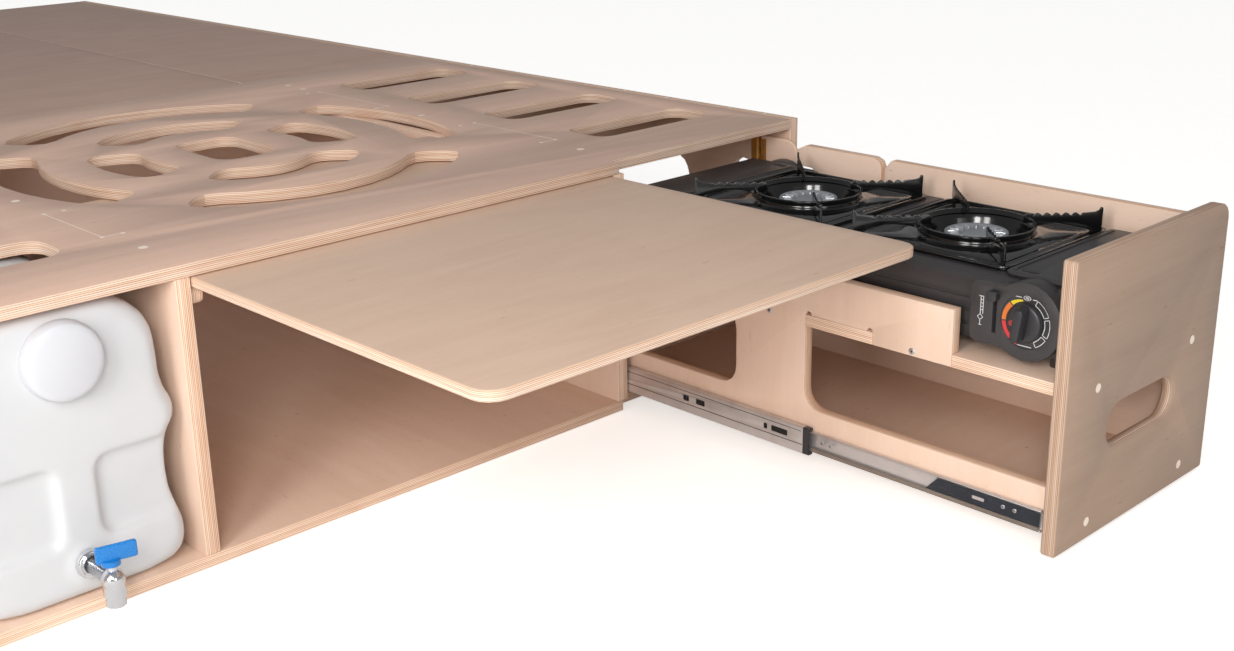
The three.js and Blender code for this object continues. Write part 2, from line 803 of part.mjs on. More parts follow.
function rightSide() {
  const outline = new THREE.Shape();
  const kerf_front = drawer.guard_notch - drawer.kerf_width / 2;
  const kerf_back = drawer.guard_notch + drawer.kerf_width / 2;
  const notch_bottom = guard_top - drawer.notch_depth;
  const kerf_bottom = guard_top - drawer.kerf_depth;
  const hook_root = drawer.guard_back - drawer.hook_length;
  const hook_bottom = guard_top - drawer.hook_height;
  outline.moveTo(box_front, drawer.underside);
  outline.lineTo(box_back, drawer.underside);
  outline.lineTo(box_back, shelf_top);
  outline.lineTo(hook_root, shelf_top);
  outline.lineTo(hook_root, hook_bottom - drawer.hook_corner);
  outline.absarc(
    hook_root + drawer.hook_corner, hook_bottom - drawer.hook_corner, drawer.hook_corner,
    Math.PI, Math.PI / 2, true);
  outline.lineTo(drawer.guard_back, hook_bottom);
  outline.lineTo(drawer.guard_back, guard_top - drawer.guard_chamfer);
  outline.lineTo(drawer.guard_back - drawer.guard_chamfer, guard_top);
  outline.lineTo(kerf_back + drawer.notch_width, guard_top);
  outline.quadraticCurveTo(kerf_back, guard_top, kerf_back, notch_bottom);
  outline.lineTo(kerf_back, kerf_bottom);
  outline.lineTo(kerf_front, kerf_bottom);
  outline.lineTo(kerf_front, notch_bottom);
  outline.lineTo(kerf_front - drawer.notch_width, guard_top);
  outline.lineTo(box_front, guard_top);
  outline.closePath();
  return board(outline, drawer.side_thickness, 'x');
}

function stoveShelf() {
  const outline = new THREE.Shape();
  const left = drawer_inner_left + fit_gap;
  const flush = drawer_left;
  const right = drawer_inner_right - fit_gap;
  const back = box_back - drawer.back_thickness - fit_gap;
  outline.moveTo(flush, box_front);
  outline.lineTo(right, box_front);
  outline.lineTo(right, back);
  outline.lineTo(left, back);
  outline.lineTo(left, drawer.post_front - fit_gap);
  outline.lineTo(flush, drawer.post_front - fit_gap);
  outline.lineTo(flush, drawer.tab_front + fit_gap);
  outline.lineTo(left, drawer.tab_front + fit_gap);
  outline.lineTo(left, drawer.band_front - fit_gap);
  outline.lineTo(flush, drawer.band_front - fit_gap);
  outline.closePath();
  return board(outline, drawer.shelf_thickness, 'z');
}

function buildDrawer(drawer_group) {
  const inner_width = drawer_inner_right - drawer_inner_left - 2 * fit_gap;
  const back_y = box_back - drawer.back_thickness;
  piece(drawer_group, 'drawer_front', frontBoard(), ply_face);
  piece(drawer_group, 'drawer_left_side', leftSide(), ply_pale, drawer_left);
  piece(drawer_group, 'drawer_right_side', rightSide(), ply_pale, drawer_inner_right);
  const bottom = block(inner_width, back_y - box_front - fit_gap, drawer.bottom_thickness);
  const back = block(inner_width, drawer.back_thickness, shelf_top - drawer.underside);
  const box_left = drawer_inner_left + fit_gap;
  piece(drawer_group, 'drawer_bottom', bottom, ply_pale, box_left, box_front, drawer.underside);
  piece(drawer_group, 'drawer_back', back, ply_pale, box_left, back_y, drawer.underside);
  piece(drawer_group, 'stove_shelf', stoveShelf(), ply_pale, 0, 0, shelf_underside);
}

// Gas stove: x runs along its front from the left end, y from its front to its back
const body_top = stove.foot_height + stove.body_height;
const pan_top = body_top + fit_gap + stove.pan_sheet;
const lid_left = stove.width - stove.lid_from_right - stove.lid_width;
const lid_front = (stove.depth - stove.lid_depth) / 2;
const dial_y = stove.dial_recess - stove.housing_stand;

function stoveBody() {
  const plan = roundedRectangle(0, 0, stove.width, stove.depth, stove.body_corner);
  const side = roundedRectangle(0, stove.foot_height, stove.depth, body_top,
    [stove.pan_rim_width, stove.pan_rim_width, stove.pan_rim_width, stove.shoulder]);
  const casing = common(board(plan, body_top, 'z'), board(side, stove.width, 'x'));
  const feet = [];
  for (const x of [stove.foot_inset, stove.width - stove.foot_inset]) {
    for (const y of [stove.foot_inset, stove.depth - stove.foot_inset]) {
      const foot = rod(stove.foot_radius, stove.foot_height + stove.pan_sheet, bore_segments);
      feet.push(foot.translate(x, y, 0));
    }
  }
  const housing = rod(stove.housing_radius, stove.housing_stand + lid_front - 2 * fit_gap)
    .rotateX(-Math.PI / 2).translate(stove.knob_from_left, -stove.housing_stand, stove.knob_height);
  const lever_panel = board(
    roundedRectangle(
      stove.panel_left, stove.panel_bottom, stove.knob_from_left, stove.panel_top, stove.panel_corner),
    stove.housing_stand + stove.shoulder, 'y').translate(0, -stove.housing_stand, 0);
  const shell = joined(casing, ...feet, housing, lever_panel);

  const well = rod(stove.well_radius, stove.well_depth + cut_overrun)
    .translate(stove.burner_from_left, stove.burner_from_front, body_top - stove.well_depth);
  const bay = block(
    stove.lid_width - 2 * stove.bay_wall, stove.lid_depth - 2 * stove.bay_wall,
    stove.bay_depth + cut_overrun,
    lid_left + stove.bay_wall, lid_front + stove.bay_wall, body_top - stove.bay_depth);
  const dial = rod(stove.dial_radius, 2 * cut_overrun).rotateX(-Math.PI / 2)
    .translate(stove.knob_from_left, dial_y - 2 * cut_overrun, stove.knob_height);
  const lever_slot = block(
    stove.lever_slot_width, stove.housing_stand + cut_overrun, stove.lever_slot_height,
    stove.lever_from_left - stove.lever_slot_width / 2, -stove.housing_stand - cut_overrun,
    stove.lever_slot_foot);
  const grooves = [];
  const groove_pitch = stove.body_height / (stove.groove_count + 2);
  for (let index = 1; index <= stove.groove_count; index += 1) {
    grooves.push(block(
      stove.groove_length, cut_overrun + stove.groove_depth, stove.groove_height,
      stove.body_corner, -cut_overrun, stove.foot_height + index * groove_pitch));
  }
  return cut(shell, well, bay, dial, lever_slot, ...grooves);
}

function dripPan() {
  const left = stove.burner_from_left - stove.pan_width / 2;
  const front = stove.burner_from_front - stove.pan_depth / 2;
  const right = left + stove.pan_width;
  const back = front + stove.pan_depth;
  const skin = stove.pan_sheet;
  const rim_width = stove.pan_rim_width;
  const sheet = roundedRectangle(left, front, right, back, stove.pan_corner);
  sheet.holes.push(circle(
    stove.burner_from_left, stove.burner_from_front, stove.bowl_radius - skin, THREE.Path));
  const rim = roundedRectangle(left, front, right, back, stove.pan_corner);
  rim.holes.push(roundedRectangle(
    left + rim_width, front + rim_width, right - rim_width, back - rim_width,
    stove.pan_corner - rim_width, THREE.Path));
  const bowl_top = skin + stove.bowl_lift;
  const floor = bowl_top - stove.bowl_depth;
  const bowl = turned([
    [stove.bowl_hole_radius, floor],
    [stove.bowl_floor_radius, floor],
    [stove.bowl_radius - skin, -skin],
    [stove.bowl_radius, 0],
    [stove.bowl_radius, bowl_top],
    [stove.bowl_radius - 2 * skin, bowl_top],
    [stove.bowl_radius - 2 * skin, 0],
    [stove.bowl_floor_radius - skin, floor + skin],
    [stove.bowl_hole_radius, floor + skin],
    [stove.bowl_hole_radius, floor],
  ]).translate(stove.burner_from_left, stove.burner_from_front, 0);
  return joined(board(sheet, skin, 'z'), board(rim, stove.pan_rim_height, 'z', skin / 2), bowl);
}

// Pan support: a ring that seats on the rim of the bowl, with four rippled arms
const ring_outer = stove.bowl_radius;
const ring_inner = ring_outer - stove.ring_thickness;
const ring_top = stove.bowl_lift + stove.ring_height;

function supportArm() {
  const outline = new THREE.Shape();
  const inner = stove.arm_inner_radius;
  const outer = stove.arm_outer_radius;
  const leg = outer - stove.arm_leg_width;
  const crest = stove.arm_crest;
  const tip = crest + stove.arm_tip_rise;
  const arch = crest - stove.bowl_lift;
  const wave_end = inner + (outer - inner) * arm_wave_share;
  outline.moveTo(inner, ring_top - stove.arm_wave);
  outline.lineTo(ring_inner + stove.ring_thickness / 2, ring_top - stove.arm_wave);
  outline.lineTo(ring_inner + stove.ring_thickness / 2, stove.bowl_lift);
  outline.lineTo(ring_outer + stove.ring_thickness, stove.bowl_lift);
  outline.quadraticCurveTo((ring_outer + leg) / 2, arch, leg, stove.bowl_lift);
  outline.lineTo(leg + stove.arm_tip_width, 0);
  outline.lineTo(outer, 0);
  outline.lineTo(outer, tip);
  outline.lineTo(outer - stove.arm_tip_width, tip);
  outline.lineTo(outer - 2 * stove.arm_tip_width, crest + stove.arm_wave);
  outline.lineTo(wave_end, crest + stove.arm_wave);
  const steps = arm_wave_count * arm_wave_steps;
  for (let step = 1; step < steps; step += 1) {
    const ripple = stove.arm_wave * Math.cos((step / steps) * arm_wave_count * 2 * Math.PI);
    outline.lineTo(wave_end + (inner - wave_end) * (step / steps), crest + ripple);
  }
  outline.lineTo(inner, crest);
  outline.closePath();
  return board(outline, stove.arm_thickness, 'y').translate(0, -stove.arm_thickness / 2, 0);
}

function panSupport() {
  const foot = stove.bowl_lift;
  const ring = turned([
    [ring_inner, foot], [ring_outer, foot], [ring_outer, ring_top], [ring_inner, ring_top],
    [ring_inner, foot],
  ]);
  const arms = arm_turns_deg.map((turn_deg) => supportArm().rotateZ(THREE.MathUtils.degToRad(turn_deg)));
  return joined(ring, ...arms);
}

function burnerHead() {
  const r = stove.head_radius;
  const h = stove.head_height;
  const crown = stove.head_crown;
  const lip = stove.head_lip;
  const head = turned([
    [0, 0],
    [stove.stem_radius, 0],
    [stove.stem_radius, h - 2 * crown],
    [r - lip, h - crown],
    [r, h - crown + lip],
    [r, h - lip],
    [r - lip / 2, h],
    [r / 2, h],
    [r / 2 - lip, h - lip],
    [0, h - lip],
  ]);
  const slots = [];
  for (let index = 0; index < stove.head_slots; index += 1) {
    const slot = block(
      lip + cut_overrun, stove.head_slot_width, crown / 2,
      r - lip, -stove.head_slot_width / 2, h - crown + lip);
    slots.push(slot.rotateZ((2 * Math.PI * index) / stove.head_slots));
  }
  return cut(head, ...slots);
}

function cartridgeLid() {
  const outline = roundedRectangle(0, 0, stove.lid_width, stove.lid_depth, stove.lid_corner);
  const slot_left = stove.lid_corner + stove.bay_wall;
  outline.holes.push(roundedRectangle(
    slot_left, stove.lid_corner,
    slot_left + stove.finger_slot_length, stove.lid_corner + stove.finger_slot_width,
    stove.finger_slot_width / 2 - fit_gap, THREE.Path));
  const plate = board(outline, stove.lid_height, 'z', stove.lid_height / 3);
  const rib = block(
    stove.lid_corner / 2, stove.lid_depth - 2 * stove.lid_corner, stove.lid_height + stove.pan_sheet,
    stove.lid_corner / 2, stove.lid_corner);
  return joined(plate, rib);
}

function knob() {
  const r = stove.knob_radius;
  const base = stove.knob_base;
  const round = base / 3;
  const half_grip = stove.knob_grip_width / 2;
  const disc = turned([[0, 0], [r, 0], [r, base - round], [r - round, base], [0, base]]);
  const grip = board(
    roundedRectangle(-half_grip, round - r, half_grip, r - round, stove.knob_grip_width / 3),
    base + stove.knob_grip, 'z', round);
  return joined(disc, grip).rotateX(Math.PI / 2);
}

function lockLever() {
  const stem_width = stove.lever_slot_width - 2 * fit_gap;
  const stem = block(stem_width, stove.housing_stand + fit_gap, stove.lever_height - 2 * fit_gap,
    -stem_width / 2, -stove.housing_stand - 2 * fit_gap, fit_gap);
  const tab = board(
    roundedRectangle(
      -stove.lever_width / 2, 0, stove.lever_width / 2, stove.lever_height, stove.lever_slot_width / 2),
    stove.lever_stand, 'y').translate(0, -stove.housing_stand - stove.lever_stand - fit_gap, 0);
  return joined(stem, tab);
}

function buildStove(parent, number) {
  const name = (part) => `stove_${number}_${part}`;
  const centre = [stove.burner_from_left, stove.burner_from_front];
  piece(parent, name('body'), stoveBody(), stove_paint);
  piece(parent, name('drip_pan'), dripPan(), black_enamel, 0, 0, body_top + fit_gap);
  piece(parent, name('pan_support'), panSupport(), black_enamel, ...centre, pan_top + fit_gap);
  const well_floor = body_top - stove.well_depth;
  piece(parent, name('burner_head'), burnerHead(), aluminium, ...centre, well_floor + fit_gap);
  piece(parent, name('cartridge_lid'), cartridgeLid(), stove_paint, lid_left, lid_front, body_top + fit_gap);
  const knob_y = dial_y - fit_gap;
  const turned_knob = piece(
    parent, name('knob'), knob(), black_plastic, stove.knob_from_left, knob_y, stove.knob_height);
  turned_knob.rotation.y = THREE.MathUtils.degToRad(rest_angles_deg.knob);
  piece(parent, name('lock_lever'), lockLever(), black_plastic, stove.lever_from_left, 0,
    stove.lever_slot_foot + stove.lever_slot_height - stove.lever_height);
}

// Wind flap with its folded hinge: both leaves lie between the flap and the end panel
const hinge_x = right_inner - fit_gap - flap.knuckle_radius;
const hinge_y = flap.rear_from_front + fit_gap + flap.knuckle_radius;

function knuckleRing(from, height) {
  const bore = flap.pin_radius + fit_gap;
  const outer = flap.knuckle_radius;
  const top = from + height;
  return turned([[bore, from], [outer, from], [outer, top], [bore, top], [bore, from]], bore_segments);
}

// One leaf on the +X side of the pin, with its knuckles listed as [from, height]
function hingeLeaf(knuckles) {
  const r = flap.knuckle_radius;
  const thick = flap.leaf_thickness;
  const clear = r + 2 * fit_gap;
  const plate = block(thick, flap.leaf_width - clear, flap.hinge_height, r - thick, -flap.leaf_width, 0);
  const bore = rod(flap.pin_radius + fit_gap, flap.hinge_height + 2 * cut_overrun, bore_segments)
    .translate(0, 0, -cut_overrun);
  const parts = [];
  for (const [from, height] of knuckles) {
    parts.push(knuckleRing(from, height));
    parts.push(block(thick, clear + fit_gap, height, r - thick, -clear - fit_gap, from));
  }
  return cut(joined(plate, ...parts), bore);
}

function buildFlap() {
  const top = deck_underside - flap.top_margin;
  const outline = roundedRectangle(
    flap.rear_from_front - flap.length, top - flap.height, flap.rear_from_front, top,
    [flap.small_corner, flap.small_corner, flap.small_corner, flap.corner]);
  const flap_outer_x = hinge_x - flap.knuckle_radius - fit_gap;
  piece(kitchen_box, 'wind_flap', board(outline, flap.thickness, 'x', flap.edge_round), ply_pale,
    flap_outer_x - flap.thickness);
  const hinge_z = top - flap.hinge_top_margin - flap.hinge_height;
  const third = flap.hinge_height / 3;
  const end_knuckle = third - fit_gap;
  const frame_leaf = hingeLeaf([[0, end_knuckle], [flap.hinge_height - end_knuckle, end_knuckle]]);
  const flap_leaf = mirrored(hingeLeaf([[third, third]]));
  piece(kitchen_box, 'hinge_leaf_frame', frame_leaf, brass, hinge_x, hinge_y, hinge_z);
  piece(kitchen_box, 'hinge_leaf_flap', flap_leaf, brass, hinge_x, hinge_y, hinge_z);
  const head_radius = flap.pin_head_radius;
  const pin = turned([
    [0, -fit_gap], [flap.pin_radius, -fit_gap], [flap.pin_radius, flap.hinge_height + fit_gap],
    [head_radius, flap.hinge_height + fit_gap], [head_radius, flap.hinge_height + flap.pin_head_height],
    [0, flap.hinge_height + flap.pin_head_height],
  ], bore_segments);
  piece(kitchen_box, 'hinge_pin', pin, brass, hinge_x, hinge_y, hinge_z);
}

// Water canister: sections lofted from front to back, then the front relief
function canisterHeight() {
  return deck_underside - bay_floor - fit_gap - canister.top_clearance;
}

function canisterOutline() {
  const half = canister.width / 2;
  const height = canisterHeight();
  const right = canister_outline_shares.map(
    ([across, up]) => new THREE.Vector3(across * half, up * height, 0));
  const left = right.slice(1, -1).reverse().map((point) => new THREE.Vector3(-point.x, point.y, 0));
  const curve = new THREE.CatmullRomCurve3([...right, ...left], true, 'centripetal');
  const points = curve.getPoints(outline_steps).slice(0, -1);
  return points.map((point) => new THREE.Vector2(point.x, THREE.MathUtils.clamp(point.y, 0, height)));
}

function canisterLoft() {
  const outline = canisterOutline();
  const half = canister.width / 2;
  const half_height = canisterHeight() / 2;
  const round = canister.edge_round;
  const front = canister_section_shares.map(([along, inward]) => [along * round, inward * round]);
  const back = front.slice().reverse().map(([along, inward]) => [canister.depth - along, inward]);
  const sections = [...front, ...back];
  const positions = [];
  for (const [y, inset] of sections) {
    for (const point of outline) {
      const x = point.x * (1 - inset / half);
      const z = half_height + (point.y - half_height) * (1 - inset / half_height);
      positions.push(x, y, z);
    }
  }
  const count = outline.length;
  const index = [];
  for (let ring = 0; ring < sections.length - 1; ring += 1) {
    for (let step = 0; step < count; step += 1) {
      const a = ring * count + step;
      const b = ring * count + ((step + 1) % count);
      index.push(a, b, a + count, b, b + count, a + count);
    }
  }
  const front_middle = positions.length / 3;
  positions.push(0, 0, half_height, 0, canister.depth, half_height);
  const last = (sections.length - 1) * count;
  for (let step = 0; step < count; step += 1) {
    const next = (step + 1) % count;
    index.push(front_middle, next, step, front_middle + 1, last + step, last + next);
  }
  const geometry = new THREE.BufferGeometry();
  geometry.setAttribute('position', new THREE.Float32BufferAttribute(positions, 3));
  geometry.setIndex(index);
  return geometry;
}

function recess(side) {
  const inner = canister.stem_width / 2;
  const outer = canister.width / 2 + canister.edge_round;
  const outline = roundedRectangle(
    inner, canister.recess_bottom, outer, canister.recess_top, canister.recess_corner);
  const geometry = new THREE.ExtrudeGeometry(outline, {
    depth: cut_overrun,
    bevelEnabled: true,
    bevelThickness: canister.recess_depth,
    bevelSize: canister.recess_draft,
    bevelOffset: -canister.recess_draft,
    bevelSegments: 2,
    curveSegments: arc_steps,
  });
  geometry.applyMatrix4(new THREE.Matrix4().makeBasis(
    new THREE.Vector3(1, 0, 0), new THREE.Vector3(0, 0, 1), new THREE.Vector3(0, -1, 0)));
  return side < 0 ? mirrored(geometry) : geometry;
}

function buildCanister() {
  const body = group(
    kitchen_box, left_divider_x - canister.centre_from_divider, canister.front_inset, bay_floor + fit_gap);
  const facing = (geometry, z) => geometry.rotateX(Math.PI / 2).translate(0, 0, z);
  const cap_z = canisterHeight() - canister.cap_below_top;
  const neck = rod(canister.neck_radius, canister.neck_height + cut_overrun);
  const boss = rod(canister.boss_radius, canister.boss_height + cut_overrun);
  const shell = joined(
    cut(canisterLoft(), recess(1), recess(-1)),
    facing(neck.translate(0, 0, -cut_overrun), cap_z),
    facing(boss.translate(0, 0, -cut_overrun), canister.tap_from_base));
  piece(body, 'water_canister', shell, tank_white);

  const r = canister.cap_radius;
  const round = r / 9;
  const skirt = fit_gap + canister.neck_height;
  const rim = fit_gap;
  const cap = turned([
    [0, skirt], [canister.neck_radius + fit_gap, skirt], [canister.neck_radius + fit_gap, rim], [r, rim],
    [r, canister.cap_height - 2 * round], [r - round / 2, canister.cap_height - round / 2],
    [r - 2 * round, canister.cap_height], [0, canister.cap_height],
  ]);
  piece(body, 'canister_cap', facing(cap, 0), cap_white, 0, 0, cap_z);

  const nut_y = -canister.boss_height - fit_gap;
  const nut_bore = tap.barrel_radius + 2 * fit_gap;
  const nut_ring = turned([
    [nut_bore, 0], [tap.nut_radius, 0], [tap.nut_radius, tap.nut_length / 2],
    [tap.nut_radius - tap.nut_length / 4, tap.nut_length], [nut_bore, tap.nut_length], [nut_bore, 0],
  ], tap.nut_sides);
  piece(body, 'tap_nut', facing(nut_ring, 0), chrome, 0, nut_y, canister.tap_from_base);

  const barrel = facing(rod(tap.barrel_radius, tap.barrel_length, bore_segments), 0);
  const elbow = new THREE.SphereGeometry(tap.elbow_radius, bore_segments, bore_segments / 2)
    .translate(0, -tap.barrel_length, 0);
  const collar_foot = -tap.elbow_radius - tap.collar_height;
  const spout = turned([
    [0, -tap.spout_length], [tap.spout_radius, -tap.spout_length], [tap.spout_radius, collar_foot],
    [tap.collar_radius, collar_foot], [tap.collar_radius, -tap.elbow_radius], [tap.spout_radius, 0], [0, 0],
  ], bore_segments).translate(0, -tap.barrel_length, 0);
  const outlet = rod(tap.outlet_radius, tap.spout_length / 2 + cut_overrun, bore_segments)
    .translate(0, -tap.barrel_length, -tap.spout_length - cut_overrun);
  const stem = rod(tap.stem_radius, tap.elbow_radius + tap.stem_height, bore_segments)
    .translate(0, -tap.barrel_length, 0);
  const faucet = cut(joined(barrel, elbow, spout, stem), outlet);
  piece(body, 'tap_body', faucet, chrome, 0, nut_y, canister.tap_from_base);

  const hub = rod(tap.hub_radius, tap.hub_height);
  const lever = board(
    roundedRectangle(-tap.lever_back, 0, tap.lever_length, tap.lever_height, tap.lever_thickness / 2),
    tap.lever_thickness, 'y', tap.lever_thickness / 4)
    .translate(0, -tap.lever_thickness / 2, tap.hub_height / 2);
  const handle = piece(body, 'tap_lever', joined(hub, lever), handle_blue, 0, nut_y - tap.barrel_length,
    canister.tap_from_base + tap.elbow_radius + tap.stem_height + fit_gap);
  handle.rotation.z = THREE.MathUtils.degToRad(rest_angles_deg.tap_lever);
}

// Assembly in the rest pose: table and drawer pulled out
buildCarcass();
buildTable();
const drawer_group = group(kitchen_box, 0, -drawer.travel, 0);
const middle_travel = drawer.travel * middle_travel_share;
const middle_groups = {
  left: group(kitchen_box, 0, -middle_travel, 0),
  right: group(kitchen_box, 0, -middle_travel, 0),
};
buildSlides(middle_groups, drawer_group);
buildDrawer(drawer_group);

const stove_floor = shelf_top + fit_gap;
const first_stove_right_end = drawer.front_thickness + stove.from_front_board;
const second_stove_left_end = first_stove_right_end + stove.width + stove.between;
const first_stove = group(
  drawer_group, drawer_inner_left + stove.first_from_side, first_stove_right_end + stove.width, stove_floor);
first_stove.rotation.z = -Math.PI / 2;
buildStove(first_stove, 1);
const second_stove = group(
  drawer_group, drawer_inner_right - stove.second_from_side, second_stove_left_end, stove_floor);
second_stove.rotation.z = Math.PI / 2;
buildStove(second_stove, 2);

buildFlap();
buildCanister();

export default kitchen_box;
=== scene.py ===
"""Looks of the camper van kitchen box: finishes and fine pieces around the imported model."""

from __future__ import annotations

import json
import logging
import math
from dataclasses import dataclass, field
from enum import Enum
from typing import Callable, Iterable, Optional, Sequence, Union

import bmesh
import bpy
from mathutils import Matrix, Vector

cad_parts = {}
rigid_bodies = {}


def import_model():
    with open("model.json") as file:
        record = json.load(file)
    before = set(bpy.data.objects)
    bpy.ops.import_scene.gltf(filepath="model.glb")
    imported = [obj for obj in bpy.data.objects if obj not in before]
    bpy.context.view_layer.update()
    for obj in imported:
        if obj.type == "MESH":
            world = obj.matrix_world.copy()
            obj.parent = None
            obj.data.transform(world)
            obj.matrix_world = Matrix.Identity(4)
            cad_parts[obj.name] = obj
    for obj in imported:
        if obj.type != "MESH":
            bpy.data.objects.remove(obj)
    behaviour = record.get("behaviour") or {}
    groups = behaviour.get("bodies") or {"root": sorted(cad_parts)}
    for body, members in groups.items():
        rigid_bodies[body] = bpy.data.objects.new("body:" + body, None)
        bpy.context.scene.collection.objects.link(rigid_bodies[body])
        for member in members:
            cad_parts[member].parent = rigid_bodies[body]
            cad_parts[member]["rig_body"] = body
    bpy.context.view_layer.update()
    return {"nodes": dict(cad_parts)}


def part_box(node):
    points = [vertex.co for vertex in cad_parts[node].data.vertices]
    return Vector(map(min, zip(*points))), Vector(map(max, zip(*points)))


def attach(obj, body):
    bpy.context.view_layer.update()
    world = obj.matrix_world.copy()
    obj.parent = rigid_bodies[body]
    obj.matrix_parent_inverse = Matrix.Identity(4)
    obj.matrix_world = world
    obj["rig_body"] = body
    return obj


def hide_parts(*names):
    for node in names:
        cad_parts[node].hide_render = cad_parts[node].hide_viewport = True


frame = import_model()
LOG = logging.getLogger("kitchen_box")
MM = 0.001

Point = tuple[float, float, float]
Colour = tuple[float, float, float]
Number = Union["Signal", float]


def linear(level: float) -> float:
    """Turn one channel as seen on screen, 0 to 255, into linear light."""
    share = level / 255.0
    return share / 12.92 if share <= 0.04045 else ((share + 0.055) / 1.055) ** 2.4


def srgb(red: float, green: float, blue: float) -> tuple[float, float, float, float]:
    """Turn a colour as seen on screen into linear light with full alpha."""
    return (linear(red), linear(green), linear(blue), 1.0)


# Shader building


class Signal:
    """A number inside a shader, with arithmetic that adds Math nodes."""

    def __init__(self, graph: "Graph", socket: bpy.types.NodeSocket) -> None:
        """Wrap an output socket of a graph."""
        self.graph = graph
        self.socket = socket

    def _math(self, operation: str, *values: Number, clamp: bool = False) -> "Signal":
        """Add one Math node fed by these values."""
        settings = {"operation": operation, "use_clamp": clamp}
        return self.graph.node("ShaderNodeMath", settings, dict(enumerate(values)))

    def __add__(self, other: Number) -> "Signal":
        """Return the sum."""
        return self._math("ADD", self, other)

    __radd__ = __add__

    def __sub__(self, other: Number) -> "Signal":
        """Return the difference."""
        return self._math("SUBTRACT", self, other)

    def __rsub__(self, other: Number) -> "Signal":
        """Return the difference the other way round."""
        return self._math("SUBTRACT", other, self)

    def __mul__(self, other: Number) -> "Signal":
        """Return the product."""
        return self._math("MULTIPLY", self, other)

    __rmul__ = __mul__

    def __truediv__(self, other: Number) -> "Signal":
        """Return the quotient."""
        return self._math("DIVIDE", self, other)

    def __mod__(self, other: Number) -> "Signal":
        """Return the remainder, never negative."""
        return self._math("FLOORED_MODULO", self, other)

    def __abs__(self) -> "Signal":
        """Return the size without its sign."""
        return self._math("ABSOLUTE", self)

    def floor(self) -> "Signal":
        """Return the whole number below."""
        return self._math("FLOOR", self)

    def sine(self) -> "Signal":
        """Return the sine of this angle in radians."""
        return self._math("SINE", self)

    def clamped(self) -> "Signal":
        """Return this kept between 0 and 1."""
        return self._math("ADD", self, 0.0, clamp=True)

    def smooth(self, low: float, high: float) -> "Signal":
        """Return a soft step from 0 at low to 1 at high."""
        settings = {"interpolation_type": "SMOOTHSTEP"}
        return self.graph.node("ShaderNodeMapRange", settings, {0: self, 1: low, 2: high, 3: 0.0, 4: 1.0})


class Graph:
    """The node tree of one material."""

    def __init__(self, name: str) -> None:
        """Start an empty material.

        Args:
            name: The material's name.
        """
        self.material = bpy.data.materials.new(name)
        self.material.use_nodes = True
        self.tree = self.material.node_tree
        self.tree.nodes.clear()
        self.output = self.tree.nodes.new("ShaderNodeOutputMaterial")

    def node(self, kind: str, settings: dict[str, object], inputs: dict[Union[int, str], object],
             output: Union[int, str] = 0) -> Signal:
        """Add a node.

        Args:
            kind: The node's type.
            settings: Its properties, set before its sockets.
            inputs: Values or signals by socket index or name.
            output: Which output to hand back.

        Returns:
            The chosen output.
        """
        made = self.tree.nodes.new(kind)
        for name, value in settings.items():
            setattr(made, name, value)
        for key, value in inputs.items():
            if isinstance(value, Signal):
                self.tree.links.new(value.socket, made.inputs[key])
            else:
                made.inputs[key].default_value = value
        return Signal(self, made.outputs[output])

    def coordinates(self) -> Signal:
        """Return the object's own coordinates, in metres."""
        return self.node("ShaderNodeTexCoord", {}, {}, "Object")

    def normal(self) -> Signal:
        """Return the object's own surface direction."""
        return self.node("ShaderNodeTexCoord", {}, {}, "Normal")

    def along(self, vector: Signal, axis: int) -> Signal:
        """Return one component of a vector."""
        return self.node("ShaderNodeSeparateXYZ", {}, {0: vector}, axis)

    def combine(self, x: Number, y: Number, z: Number) -> Signal:
        """Return a vector from three numbers."""
        return self.node("ShaderNodeCombineXYZ", {}, {0: x, 1: y, 2: z})

    def scaled(self, vector: Signal, scale: Point, shift: Point = (0.0, 0.0, 0.0)) -> Signal:
        """Return coordinates stretched by scale and moved by shift."""
        return self.node("ShaderNodeMapping", {}, {"Vector": vector, "Location": shift, "Scale": scale})

    def noise(self, vector: Signal, scale: float, detail: float = 2.0, roughness: float = 0.5,
              distortion: float = 0.0) -> Signal:
        """Return soft noise between 0 and 1."""
        inputs = dict(Vector=vector, Scale=scale, Detail=detail, Roughness=roughness, Distortion=distortion)
        return self.node("ShaderNodeTexNoise", {}, inputs)

    def mix(self, factor: Number, first: object, second: object) -> Signal:
        """Return a blend of two colours."""
        return self.node("ShaderNodeMix", {"data_type": "RGBA"}, {0: factor, 6: first, 7: second}, 2)

    def shade(self, colour: object, factor: Number) -> Signal:
        """Return a colour multiplied by a number."""
        inputs = {0: 1.0, 6: colour, 7: self.combine(factor, factor, factor)}
        return self.node("ShaderNodeMix", {"data_type": "RGBA", "blend_type": "MULTIPLY"}, inputs, 2)

    def bump(self, height: Signal, strength: float, distance: float) -> Signal:
        """Return a surface direction tilted by a height."""
        return self.node("ShaderNodeBump", {}, {"Height": height, "Strength": strength, "Distance": distance})

    def surface(self, **sockets: object) -> bpy.types.Material:
        """Finish with a Principled surface.

        Args:
            **sockets: Values or signals by socket name, with underscores for spaces.

        Returns:
            The finished material.
        """
        inputs = {name.replace("_", " "): value for name, value in sockets.items()}
        made = self.node("ShaderNodeBsdfPrincipled", {}, inputs)
        self.tree.links.new(made.socket, self.output.inputs["Surface"])
        return self.material


# Finishes


class Tone(Enum):
    """How a plywood face is treated; the deck tones carry painted light on the front deck and painted shade
    on the rear decks.
    """

    OILED = "oiled"
    TABLE = "table"
    DECK_PAINTED_LIGHT = "deck"
    REAR_PAINTED_SHADE = "rear"
    FRONT = "front"
